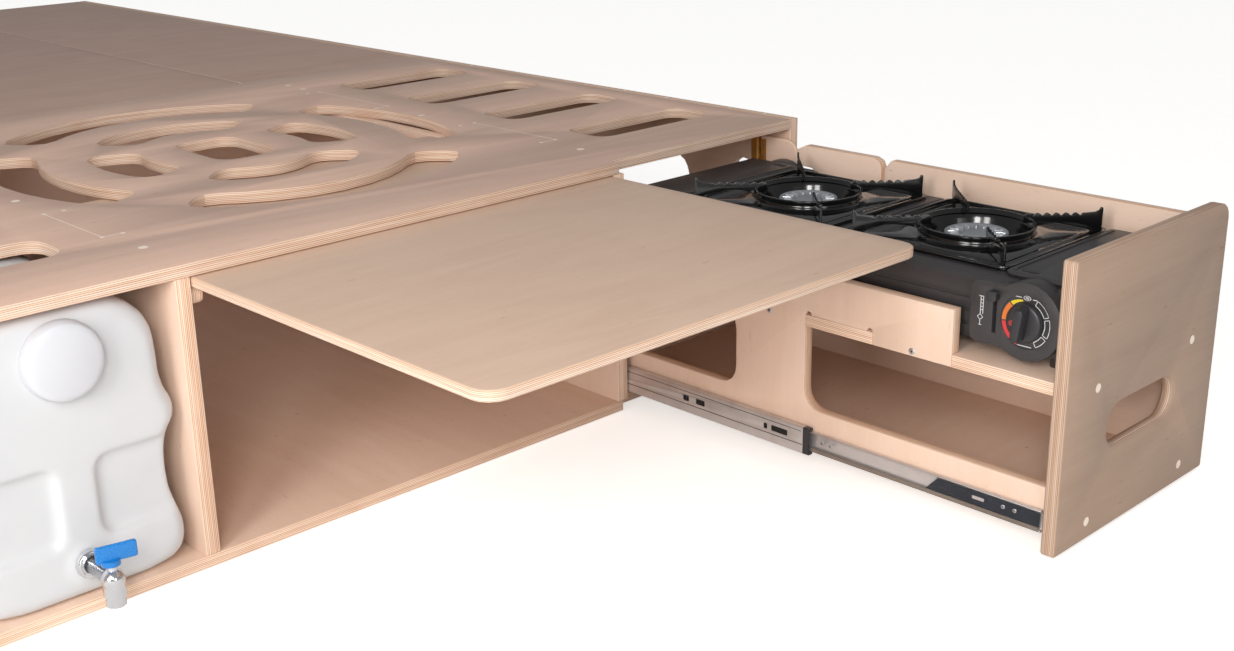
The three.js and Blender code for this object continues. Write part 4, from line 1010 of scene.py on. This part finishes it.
@dataclass(frozen=True)
class Screws:
    """Cross-head screws, each facing out of a board along one axis, in millimetres."""

    head_radius: float = 4.2
    head_height: float = 0.9
    cross_length: float = 4.4
    cross_width: float = 0.9
    sunk: float = 0.5
    cross_sunk: float = 0.1
    cross_proud: float = 0.06
    dome_shares: tuple[Pair, ...] = ((1.0, 0.3), (0.8, 0.75), (0.45, 1.0))
    sides: int = 24

    def place(self, spot: Point, outward: Point) -> Matrix:
        """Return the frame of a screw head, in millimetres, with local Z outward."""
        turn = Vector(outward).to_track_quat("Z", "Y").to_matrix().to_4x4()
        return Matrix.Translation(Vector(spot) * MM) @ turn @ Matrix.Scale(MM, 4)

    def build(self, name: str, spots: Sequence[Point], outward: Point, body: str) -> None:
        """Set screws.

        Args:
            name: Start of the pieces' names.
            spots: Where the heads sit.
            outward: Direction that they face.
            body: Body that they ride on.
        """
        radius, height = self.head_radius, self.head_height
        dome = [(radius * wide, height * high) for wide, high in self.dome_shares]
        profile = [(0, -self.sunk), (radius, -self.sunk), *dome, (0, height)]
        long, wide = self.cross_length / 2, self.cross_width / 2
        low, high = height - self.cross_sunk, height + self.cross_proud
        heads, crosses = Shape(), Shape()
        for spot in spots:
            seat = self.place(spot, outward)
            heads.lathe(profile, seat, self.sides)
            for x, y in ((long, wide), (wide, long)):
                crosses.plate(corners_of((-x, x, -y, y)), low, high, seat)
        settle(heads.finish(f"{name}_heads", SCREW.material()), body)
        settle(crosses.finish(f"{name}_crosses", HOLE_BLACK.material()), body)


@dataclass
class Slides:
    """Telescopic slides: folded zinc channels with pressed slots, stops and screws, in millimetres.

    A slot is given by its two ends along the slide and its lower and upper edge.
    """

    edge_round: float = 0.3
    skin: float = 0.12
    corner_share: float = 0.24
    middle_slots: tuple[Box, ...] = (
        (-113, -119.5, 41, 51), (-133.5, -148, 40.5, 50.5), (-250, -256, 41, 50.5), (-262.5, -290, 40.5, 50),
    )
    slot_nudge: Nudge = ((-1.0, -0.3, 0.038), (1.0, -0.09, 0.049), (0.0, -0.012, 0.003))
    slot_depth: float = 0.7
    inner_slots: tuple[Box, ...] = ((-563, -579, 43.5, 47.5), (-335, -338, 44, 48))
    inner_slot_depth: float = -0.16
    screw: Screws = Screws(2.6, 0.7, 2.8, 0.6)
    screw_spots: tuple[float, ...] = (-343, -356, -604, -619)
    screw_height: float = 46.0
    screw_stand: float = 0.1
    # The cover plate carries a painted dark reflection.
    cover: Outline = ((-499, 36), (-515, 53), (-651, 53), (-651, 36))
    # The grooves are flat dark strips: painted shade along pressed grooves.
    grooves: tuple[Box, ...] = ((20, -312, 55, 55.8), (20, -314, 36.9, 37.9))
    # The lip plate covers the wood below the rail and is coloured as the flange in painted shade.
    lip: Box = (-324, -651, 30, 35.4)

    def marks(self, side: str, member: str, outlines: Sequence[Outline], name: str,
              material: bpy.types.Material, depth: float = 0.0) -> None:
        """Lay thin plates on the outer face of a member.

        Args:
            side: Which slide, left or right.
            member: Which member of it.
            outlines: Each plate's outline, as places along the slide and heights.
            name: Name of the piece.
            material: Its finish.
            depth: How far inside the face the plates lie.
        """
        low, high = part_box(f"slide_{member}_{side}")
        sign = -1.0 if side == "left" else 1.0
        face = (low.x if side == "left" else high.x) - sign * depth * MM
        place = Matrix(((0, 0, sign * MM, face), (MM, 0, 0, 0), (0, MM, 0, 0), (0, 0, 0, 1)))
        shape = Shape()
        for outline in outlines:
            shape.plate(outline, -self.skin, self.skin, place)
        body = "drawer" if member == "inner" else f"slide_{side}"
        settle(shape.finish(name, material), body)

    def rounded(self, box: Box) -> list[Pair]:
        """Draw a slot with rounded corners.

        Args:
            box: The slot.

        Returns:
            Its outline.
        """
        y0, y1, z0, z1 = box
        wide, tall = abs(y1 - y0), z1 - z0
        loop = slot_loop(wide, tall, min(wide, tall) * self.corner_share, 0.0)
        return [((y0 + y1) / 2 + along, (z0 + z1) / 2 + up) for along, up, _ in loop]

    def build(self) -> None:
        """Round the folded edges, dress every member and add its marks."""
        zinc = ZINC.material()
        hole, dark, shade = HOLE_BLACK.material(), SHADE_REFLECTION_ZINC.material(), LIP_SHADE_ZINC.material()
        for side, outward in (("left", (-1, 0, 0)), ("right", (1, 0, 0))):
            for member in ("outer", "middle", "inner"):
                nudges = [self.slot_nudge] if member == "middle" else []
                node = f"slide_{member}_{side}"
                eased(node, f"{node}_rail", self.edge_round * MM, zinc, nudges)
            dress(f"slide_stop_{side}", BLACK_PLASTIC.material())
            slots = [self.rounded(box) for box in self.middle_slots]
            self.marks(side, "middle", slots, f"slide_slots_{side}", hole, self.slot_depth)
            grooves = [self.rounded(box) for box in self.grooves]
            # Groove strips in painted shade.
            self.marks(side, "middle", grooves, f"slide_grooves_{side}", dark)
            # The lip is steel in painted shade.
            self.marks(side, "inner", [self.rounded(self.lip)], f"slide_lip_{side}", shade)
            low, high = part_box(f"slide_inner_{side}")
            face = (low.x if side == "left" else high.x) / MM
            # Cover plate with a painted dark reflection.
            self.marks(side, "inner", [self.cover], f"slide_cover_{side}", dark)
            pale = [self.rounded(box) for box in self.inner_slots]
            self.marks(side, "inner", pale, f"slide_windows_{side}", zinc, self.inner_slot_depth)
            raised = face + self.screw_stand * outward[0]
            spots = [(raised, y, self.screw_height) for y in self.screw_spots]
            self.screw.build(f"slide_screws_{side}", spots, outward, "drawer")


@dataclass
class Stove:
    """One portable gas stove; its own frame is in millimetres with x along its front.

    The pan's border is a table of insets, heights and corner radii, its bowl one of distances from the bowl's
    edge and heights. Turned parts are tables of radii and heights, the knob's grip one of widths, lengths,
    corner radii and heights, and printed strokes are boxes on the front.
    """

    number: int
    origin: Point
    turn_deg: float
    burner: Pair = (129.0, 137.0)
    body_top: float = 95.0
    gap: float = 0.3
    pan_size: Pair = (232.0, 229.0)
    pan_sides: int = 144
    pan_flat: float = 1.6
    pan_border: tuple[Point, ...] = (
        (0.5, 0, 12), (0, 0.5, 12), (0, 4.2, 12), (0.5, 5, 12), (3.2, 5, 9.5), (4.2, 4.4, 9), (5, 1.8, 8.5),
        (6, 1.6, 8), (13, 1.6, 12), (14, 2.4, 12), (15.2, 2.8, 12), (16.4, 2.4, 12), (17.4, 1.6, 12),
        (21, 1.6, 12), (22, 0.9, 12), (23.5, 0.9, 12), (24.5, 1.6, 12),
    )
    bowl_radius: float = 71.0
    bowl: Outline = (
        (9, 1.6), (3, 2.0), (0.6, 3.2), (0, 5), (0, 7.6), (-0.5, 8.4), (-1.6, 8.6), (-2.6, 8.4), (-3.3, 7.6),
        (-5.2, 2), (-7.6, -5), (-9.7, -11), (-12, -14.4), (-16, -15.8), (-26, -15.8), (-27, -16.4),
        (-27, -17.4), (-11, -17.4), (-9, -12.4), (-3.4, -1), (-0.6, 0),
    )
    ring_wall: float = 3.2
    ring_foot: float = 7.0
    ring_top: float = 13.0
    arm_turns_deg: tuple[float, ...] = (45.0, 135.0, 225.0, 315.0)
    arm_half: float = 1.2
    arm_round: float = 0.45
    head_depth: float = 34.0
    head: Outline = (
        (0, 0), (15, 0), (15, 8), (20, 14), (34, 23), (38, 26), (39, 28), (39, 36), (38.4, 37.4), (37, 38),
        (35.4, 37.6), (34.4, 36.4), (32, 34.4), (27, 32.2), (21, 31.4), (18.6, 32), (17, 34.4), (15.4, 35.6),
        (12, 36.2), (0, 36.4),
    )
    rib_count: int = 16
    rib_size: Point = (13 * MM, 1.9 * MM, 5.4 * MM)
    rib_place: Pair = (29.5, 34.4)
    rib_round: float = 0.5
    dial: Pair = (294.0, 56.0)
    dial_plane: float = -13.5
    panel_plane: float = -15.0
    panel_middle: float = 237.0
    knob_turn_deg: float = 8.0
    knob_sides: int = 72
    knob_base: Outline = (
        (0, 0), (21.6, 0), (22, 0.6), (22, 4), (21.6, 5.4), (20.6, 6.4), (19, 7), (15, 7.2), (0, 7.2),
    )
    grip_sides: int = 48
    grip_round: float = 0.8
    grip: tuple[Box, ...] = ((12.4, 41, 4, 6), (11.6, 40, 4, 14), (10.4, 38.4, 3.6, 20), (8.8, 36.6, 3.2, 21))
    mark_spot: Point = (-13.2, -4, 7.15)
    mark_high: float = 0.12
    mark_ring: Pair = (1.9, 2.9)
    mark_bar: Box = (-0.4, 0.4, -1.2, 1.2)
    print_high: float = 0.1
    scale_rims: tuple[Pair, ...] = ((29.4, 30.3), (23.2, 24.1))
    scale_end: Pair = (24, 29.5)
    scale_line: float = 0.8
    scale_middle: float = 27.0
    scale_arcs_deg: tuple[Pair, ...] = ((64, 22), (16, -26), (-32, -62))
    scale_bars: tuple[Box, ...] = (
        (-15, -7, 26.75, 27.65), (7, 15, 26.75, 27.65), (-9, 9, -28.45, -27.55),
        (-1.95, -1.25, 25.9, 28.9), (-0.35, 0.35, 25.9, 28.9), (1.25, 1.95, 25.9, 28.9),
    )
    oval_ring: Pair = (3.9, 4.6)
    oval_spot: Point = (0, 27.4, 0)
    oval_shares: Box = (1.0, 0.6, 1.0, 1.0)
    diamond_ring: Pair = (3, 4)
    diamond_spot: Point = (0, 50, 0)
    lock_strokes: tuple[Box, ...] = (
        (-0.4, 0.4, 41, 46), (-0.4, 0.4, 54, 74), (2.8, 3.6, 54, 74), (-2.6, 3.6, 74, 74.8),
        (0.4, 2.8, 70, 70.7), (0.4, 2.8, 66, 66.7), (0.4, 2.8, 62, 62.7), (0.4, 2.8, 58, 58.7),
        (-1.6, 2.2, 40.4, 41.1),
    )

    def at(self, x: float, y: float, z: float) -> Matrix:
        """Return the frame of a part whose own origin is at x, y, z on the stove."""
        turn = Matrix.Rotation(math.radians(self.turn_deg), 4, "Z")
        return Matrix.Translation(self.origin) @ turn @ Matrix.Scale(MM, 4) @ Matrix.Translation((x, y, z))

    def on_front(self, x: float, plane: float, z: float) -> Matrix:
        """Return a frame on the stove's front: local x to the right, y up, z out of the front."""
        return self.at(x, plane, z) @ Matrix.Rotation(math.pi / 2, 4, "X")

    def put(self, shape: Shape, part: str, name: str, finish: Finish, ease: float = 0.0,
            replaced: bool = False, smooth_deg: float = SOFT_DEG) -> None:
        """Finish a shape and let it ride with one of the stove's CAD nodes.

        Args:
            shape: The shape.
            part: The node, without the stove's number.
            name: Name of the piece, without the stove's number.
            finish: The piece's finish.
            ease: How far the edges are rounded, in metres.
            replaced: True if the piece stands for the node.
            smooth_deg: Edges sharper than this stay sharp.
        """
        node = f"stove_{self.number}_{part}"
        made = shape.finish(f"stove_{self.number}_{name}", finish.material(), smooth_deg, ease)
        settle(made, frame["nodes"][node]["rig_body"], [node] if replaced else [])

    def pan(self) -> None:
        """Make the enamelled pan: raised border, pressed bead and the deep bowl."""
        count = self.pan_sides
        place = self.at(*self.burner, self.body_top + self.gap)
        width, depth = self.pan_size
        loops = [box_loop(width - 2 * inset, depth - 2 * inset, corner, height, count)
                 for inset, height, corner in self.pan_border]
        loops += [ring_loop(self.bowl_radius + off, height, count) for off, height in self.bowl]
        shape = Shape().loft(loops, place, closed=True)
        self.put(shape, "drip_pan", "pan", ENAMEL, replaced=True, smooth_deg=ROUND_DEG)

    def support(self) -> None:
        """Make the pan support: a rolled ring and four rippled arms."""
        base = self.body_top + self.gap + self.pan_flat + self.gap
        place = self.at(*self.burner, base)
        outer, foot, top = self.bowl_radius, self.ring_foot, self.ring_top
        inner = outer - self.ring_wall
        ring = Shape().lathe([
            (inner - 2, foot), (outer - 0.5, foot), (outer, foot + 0.6), (outer, top - 2.2),
            (outer + 0.5, top - 1.2), (outer + 0.2, top - 0.4), (outer - 0.7, top), (inner + 1.2, top),
            (inner + 0.2, top - 0.5), (inner - 0.3, top - 1.6), (inner - 2.6, foot + 0.8),
        ], place, self.pan_sides)
        self.put(ring, "pan_support", "support_ring", ENAMEL, replaced=True,
                 smooth_deg=ROUND_DEG)
        arms = Shape()
        for turn_deg in self.arm_turns_deg:
            upright = Matrix.Rotation(math.radians(turn_deg), 4, "Z") @ Matrix.Rotation(math.pi / 2, 4, "X")
            outline = self.arm_outline(inner, outer, foot, top)
            arms.plate(outline, -self.arm_half, self.arm_half, place @ upright)
        self.put(arms, "pan_support", "support_arms", IRON, ease=self.arm_round * MM)

    @staticmethod
    def arm_outline(inner: float, outer: float, foot: float, top: float) -> list[Pair]:
        """Draw one arm seen from the side, as distances from the burner's middle and heights.

        Args:
            inner: Inner radius of the ring.
            outer: Outer radius of the ring.
            foot: Lower edge of the ring.
            top: Upper edge of the ring.

        Returns:
            The arm's outline.
        """
        start, end, leg, crest, wave = 56.0, 152.0, 134.0, 21.5, 1.9
        ring_side, arch, arch_steps = outer + 3.2, 4.4, 8
        waves, wave_steps, wave_share = 6, 60, 0.72
        seat = (inner + outer) / 2
        outline = [(start, top - wave), (seat, top - wave), (seat, foot), (ring_side, foot)]
        for step in range(1, arch_steps + 1):
            share = step / arch_steps
            outline.append((ring_side + (leg - ring_side) * share, foot + 4 * share * (1 - share) * arch))
        outline += [
            (leg + 5, 1), (leg + 6, 0), (end - 1, 0), (end, 1), (end + 0.2, 12), (end + 0.6, crest + 6),
            (end, crest + 8), (end - 3, crest + 8), (end - 4.5, crest + 4.5), (end - 9, crest + 2.4),
        ]
        wave_end = start + (end - start) * wave_share
        outline.append((wave_end + 2, crest + 1.2))
        for step in range(wave_steps + 1):
            share = step / wave_steps
            ripple = wave * (2 * abs(math.sin(share * waves * math.pi)) - 1)
            outline.append((wave_end + (start - wave_end) * share, crest + ripple))
        return outline

    def burner_head(self) -> None:
        """Make the cast burner: a turned body with radial ribs round its sunken top."""
        place = self.at(*self.burner, self.body_top - self.head_depth + self.gap)
        shape = Shape().lathe(self.head, place)
        self.put(shape, "burner_head", "burner", CAST, replaced=True, smooth_deg=ROUND_DEG)
        radius, height = self.rib_place
        turns = [2 * math.pi * (step + 0.5) / self.rib_count for step in range(self.rib_count)]
        spots = [place @ Vector((radius * math.cos(turn), radius * math.sin(turn), height)) for turn in turns]
        bars = Repeater("GeometryNodeMeshCube", {"Size": self.rib_size}, radial=True)
        name = f"stove_{self.number}_burner"
        # The ribs' pale colour is a painted highlight on the same cast metal as the head.
        ribs = bars.build(f"{name}_ribs", spots, RIB_HIGHLIGHT_CAST.material(), ease=self.rib_round * MM)
        settle(ribs, frame["nodes"][f"{name}_head"]["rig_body"])

    @staticmethod
    def flat_ring(inner: float, outer: float, high: float) -> Outline:
        """Return the profile of a flat ring."""
        return ((outer, 0), (outer, high), (inner, high), (inner, 0))

    def knob(self) -> None:
        """Make the knob: a rounded base with a grip bar, and its small printed mark."""
        turn = Matrix.Rotation(-math.radians(self.knob_turn_deg), 4, "Z")
        place = self.on_front(self.dial[0], self.dial_plane - self.gap, self.dial[1]) @ turn
        shape = Shape().lathe(self.knob_base, place, self.knob_sides)
        self.put(shape, "knob", "knob_base", BLACK_PLASTIC, replaced=True)
        grip = Shape().loft([box_loop(*sizes, self.grip_sides) for sizes in self.grip], place)
        self.put(grip, "knob", "knob_grip", BLACK_PLASTIC, ease=self.grip_round * MM)
        mark = Shape()
        spot = place @ Matrix.Translation(self.mark_spot)
        mark.lathe(self.flat_ring(*self.mark_ring, self.mark_high), spot, 28)
        mark.plate(corners_of(self.mark_bar), 0, self.mark_high, spot)
        self.put(mark, "knob", "knob_mark", PRINT_RED)

    def dial_print(self) -> None:
        """Print the coloured heat scale, its white partner, bars, a small oval and the lock scale."""
        place = self.on_front(self.dial[0], self.dial_plane, self.dial[1])
        high = self.print_high
        for name, finish, turns, inner, outer, outer_end in (
            ("yellow", PRINT_YELLOW, (102, 136), 23.4, 25.2, 28.2),
            ("orange", PRINT_ORANGE, (139, 186), 22.6, 28.4, 30.2),
            ("red", PRINT_RED, (189, 250), 22.6, 30.3, 30.5),
        ):
            shape = Shape().band(inner, outer, turns, high, place, outer_end)
            self.put(shape, "body", f"print_{name}", finish)
        white = Shape()
        half_turn = math.degrees(self.scale_line / self.scale_middle) / 2
        for start, end in self.scale_arcs_deg:
            for inner, outer in self.scale_rims:
                white.band(inner, outer, (start, end), high, place)
            for edge in (start, end):
                white.band(*self.scale_end, (edge - half_turn, edge + half_turn), high, place)
        for bar in self.scale_bars:
            white.plate(corners_of(bar), 0, high, place)
        flat = place @ Matrix.Translation(self.oval_spot) @ Matrix.Diagonal(self.oval_shares)
        white.lathe(self.flat_ring(*self.oval_ring, high), flat, 36)
        panel = self.on_front(self.panel_middle, self.panel_plane, 0)
        for stroke in self.lock_strokes:
            white.plate(corners_of(stroke), 0, high, panel)
        upright = panel @ Matrix.Translation(self.diamond_spot)
        white.lathe(self.flat_ring(*self.diamond_ring, high), upright, 4)
        self.put(white, "body", "print_white", PRINT_WHITE)

    def build(self) -> None:
        """Make every part of the stove."""
        for part, finish, width, slot in (
            ("body", STOVE_PAINT, 0.9, "stove_paint"), ("cartridge_lid", STOVE_PAINT, 0.5, "stove_paint"),
            ("lock_lever", BLACK_PLASTIC, 0.4, "black_plastic"),
        ):
            node = f"stove_{self.number}_{part}"
            eased(node, f"{node}_look", width * MM, finish.material())
        self.pan()
        self.support()
        self.burner_head()
        self.knob()
        self.dial_print()


@dataclass
class Canister:
    """Water canister with its cap and tap."""

    voxel: float = 2.6 * MM
    rounds: int = 12
    fittings: tuple[tuple[str, str, float, Finish, str], ...] = (
        ("canister_cap", "cap_look", 1.6, CAP, "cap_white"),
        ("tap_nut", "tap_nut_look", 0.6, CHROME, "chrome"),
        ("tap_body", "tap_body_look", 0.5, CHROME, "chrome"),
        ("tap_lever", "tap_lever_look", 1.0, BLUE, "handle_blue"),
    )

    def build(self) -> None:
        """Soften the moulded body and dress the fittings."""

        def soften(draft: bpy.types.Object) -> None:
            """Even the mesh out and smooth it.

            Args:
                draft: Object that holds the mesh.
            """
            remesh = draft.modifiers.new("even", "REMESH")
            remesh.mode = "VOXEL"
            remesh.voxel_size = self.voxel
            smooth = draft.modifiers.new("soft", "CORRECTIVE_SMOOTH")
            smooth.use_only_smooth = True
            smooth.iterations = self.rounds

        data = reworked(merged_mesh("water_canister", "canister_shell"), "canister_shell", soften)
        shell = new_object("canister_shell", data, TANK.material(), 180.0)
        settle(shell, "canister", ["water_canister"])
        for node, name, width, finish, slot in self.fittings:
            eased(node, name, width * MM, finish.material())


@dataclass
class FlapHinge:
    """Small brass hinge of the wind flap, in millimetres."""

    low: float = 272.0
    high: float = 322.0
    flap_leaf: Box = (671.3, 672.2, 56.0, 66.4)
    wall_leaf: Box = (682.9, 683.8, 72.8, 96.0)
    leaf_round: float = 0.25
    barrel: Pair = (679.0, 79.0)
    barrel_radius: float = 4.6
    barrel_end_radius: float = 4.0
    barrel_sides: int = 40
    joint_radius: float = 3.8
    joint_half: float = 0.6
    barrel_joints: tuple[float, ...] = (288.0, 306.0)
    screw: Screws = Screws(2.2, 0.5, 2.6, 0.6)
    screw_sunk: float = 0.3
    screw_heights: tuple[float, ...] = (281.0, 297.0, 313.0)

    def leaf(self, name: str, sizes: Box, body: str) -> None:
        """Make a visible leaf with its countersunk screws.

        Args:
            name: Name of the leaf.
            sizes: Its two places along X and its two along Y.
            body: Body that it rides on.
        """
        plate = Shape().plate(corners_of(sizes), self.low, self.high, Matrix.Scale(MM, 4))
        settle(plate.finish(name, BRASS.material(), ease=self.leaf_round * MM), body)
        face, _, near, far = sizes
        spots = [(face + self.screw_sunk, (near + far) / 2, height) for height in self.screw_heights]
        self.screw.build(f"{name}_screws", spots, (-1, 0, 0), body)

    def build(self) -> None:
        """Dress the folded leaves and the pin, and add the leaves that are seen."""
        brass = BRASS.material()
        for node in ("hinge_leaf_frame", "hinge_leaf_flap", "hinge_pin"):
            dress(node, brass)
        self.leaf("hinge_wall_leaf", self.wall_leaf, "carcass")
        place = Matrix.Scale(MM, 4) @ Matrix.Translation((*self.barrel, 0.0))
        wide, end, half = self.barrel_radius, self.barrel_end_radius, self.joint_half
        profile = [(0.0, self.low), (end, self.low), (wide, self.low + half)]
        for joint in self.barrel_joints:
            profile += [(wide, joint - half), (self.joint_radius, joint), (wide, joint + half)]
        profile += [(wide, self.high - half), (end, self.high), (0.0, self.high)]
        barrel = Shape().lathe(profile, place, self.barrel_sides).finish("hinge_barrel", brass)
        settle(barrel, "carcass")
        self.leaf("hinge_flap_strip", self.flap_leaf, "wind_flap")


@dataclass(frozen=True)
class Lamp:
    """One soft lamp that faces a target; lengths in metres, power in watts."""

    name: str
    place: Point
    target: Point
    size: Pair
    power: float
    colour: Colour = (1.0, 0.985, 0.96)

    def hang(self) -> None:
        """Put the lamp in the scene."""
        data = bpy.data.lights.new(self.name, "AREA")
        data.shape = "RECTANGLE"
        data.size, data.size_y = self.size
        data.energy = self.power
        data.color = self.colour
        made = bpy.data.objects.new(self.name, data)
        made.location = self.place
        made.rotation_euler = (Vector(self.target) - Vector(self.place)).to_track_quat("-Z", "Y").to_euler()
        bpy.context.scene.collection.objects.link(made)


@dataclass
class Studio:
    """Camera, lamps, floor and surroundings; lengths in metres, the lens and the sensor in millimetres."""

    eye: Point = (-1.0692, -1.4310, 0.8055)
    lens: float = 44.13
    sensor: float = 36.0
    sight: Pair = (0.05, 60.0)
    right: Point = (0.71931658, -0.69445476, -0.01778302)
    down: Point = (-0.23704322, -0.22130621, -0.9459567)
    ahead: Point = (0.65298864, 0.68465768, -0.32380503)
    lamps: tuple[Lamp, ...] = (
        Lamp("left_lamp", (-1.65, -0.85, 1.25), (0.0, -0.2, 0.3), (0.45, 0.7), 11.0),
        Lamp("camera_lamp", (-1.6, -1.75, 1.3), (0.3, -0.3, 0.3), (0.5, 0.8), 21.0),
        Lamp("side_lamp", (-3.0, -1.1, 0.9), (0.3, -0.3, 0.2), (1.2, 1.2), 26.0),
        Lamp("low_lamp", (-0.6, -2.8, 0.8), (0.1, -0.2, 0.2), (1.0, 1.0), 9.0),
    )
    floor_half: float = 9.0
    floor_shift: Point = (0.0, 0.8, -0.0105)
    floor_thick: float = 0.01
    floor_glow: float = 0.62
    sky: tuple[tuple[str, float], ...] = (("", 0.46), ("Is Glossy Ray", 0.26), ("Is Camera Ray", 1.0))

    def camera(self) -> None:
        """Set the camera where the photograph was taken from."""
        data = bpy.data.cameras.new("camera")
        data.lens = self.lens
        data.sensor_width = self.sensor
        data.clip_start, data.clip_end = self.sight
        made = bpy.data.objects.new("camera", data)
        columns = [Vector(self.right), -Vector(self.down), -Vector(self.ahead)]
        turn = Matrix((columns[0], columns[1], columns[2])).transposed().to_4x4()
        made.matrix_world = Matrix.Translation(self.eye) @ turn
        bpy.context.scene.collection.objects.link(made)
        bpy.context.scene.camera = made

    def floor(self) -> None:
        """Lay a pale floor that looks white to the camera and keeps the object's shadow."""
        graph = Graph("studio_floor")
        speck = graph.noise(graph.coordinates(), 30.0, 2.0)
        tint = graph.mix(speck, srgb(240, 239, 237), srgb(246, 245, 243))
        paper = graph.node("ShaderNodeBsdfPrincipled", {}, {"Base Color": tint, "Roughness": 0.9})
        seen = graph.node("ShaderNodeLightPath", {}, {}, "Is Camera Ray")
        glow = graph.node("ShaderNodeEmission", {}, {"Color": tint, "Strength": self.floor_glow})
        lit = graph.node("ShaderNodeAddShader", {}, {0: paper, 1: glow})
        choice = graph.node("ShaderNodeMixShader", {}, {0: seen, 1: paper, 2: lit})
        graph.tree.links.new(choice.socket, graph.output.inputs["Surface"])
        sheet = Shape()
        half = self.floor_half
        place = Matrix.Translation(self.floor_shift)
        sheet.plate(corners_of((-half, half, -half, half)), 0.0, self.floor_thick, place)
        sheet.finish("studio_floor_sheet", graph.material)

    def world(self) -> None:
        """Light the surroundings evenly, dimmer in reflections and white to the camera."""
        world = bpy.data.worlds.new("surroundings")
        bpy.context.scene.world = world
        world.use_nodes = True
        tree = world.node_tree
        tree.nodes.clear()
        output = tree.nodes.new("ShaderNodeOutputWorld")
        path = tree.nodes.new("ShaderNodeLightPath")
        last = None
        for ray, strength in self.sky:
            light = tree.nodes.new("ShaderNodeBackground")
            light.inputs["Color"].default_value = (1.0, 1.0, 1.0, 1.0) if ray else (0.97, 0.98, 1.0, 1.0)
            light.inputs["Strength"].default_value = strength
            if last is None:
                last = light
                continue
            blend = tree.nodes.new("ShaderNodeMixShader")
            tree.links.new(path.outputs[ray], blend.inputs[0])
            tree.links.new(last.outputs[0], blend.inputs[1])
            tree.links.new(light.outputs[0], blend.inputs[2])
            last = blend
        tree.links.new(last.outputs[0], output.inputs["Surface"])

    def build(self) -> None:
        """Set up the whole studio."""
        self.camera()
        self.floor()
        self.world()
        for lamp in self.lamps:
            lamp.hang()
        bpy.context.scene.view_settings.view_transform = "Standard"


SIDE_SCREW_SPOTS = ((-466.0, 198.0), (-248.0, 200.0))
STOVE_PLACES = (((0.352, -0.311, 0.2073), -90.0), ((0.622, -0.308, 0.2073), 90.0))


def main() -> None:
    """Build every sub-assembly in order."""
    logging.basicConfig(level=logging.INFO, format="%(message)s")
    Studio().build()
    Boards().build()
    DeckMarks().build()
    Slides().build()
    low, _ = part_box("drawer_left_side")
    side_screws = [(low.x / MM, along, up) for along, up in SIDE_SCREW_SPOTS]
    Screws().build("side_screws", side_screws, (-1, 0, 0), "drawer")
    for number, (origin, turn_deg) in enumerate(STOVE_PLACES, start=1):
        Stove(number, origin, turn_deg).build()
    Canister().build()
    FlapHinge().build()


if __name__ == "__main__":
    main()
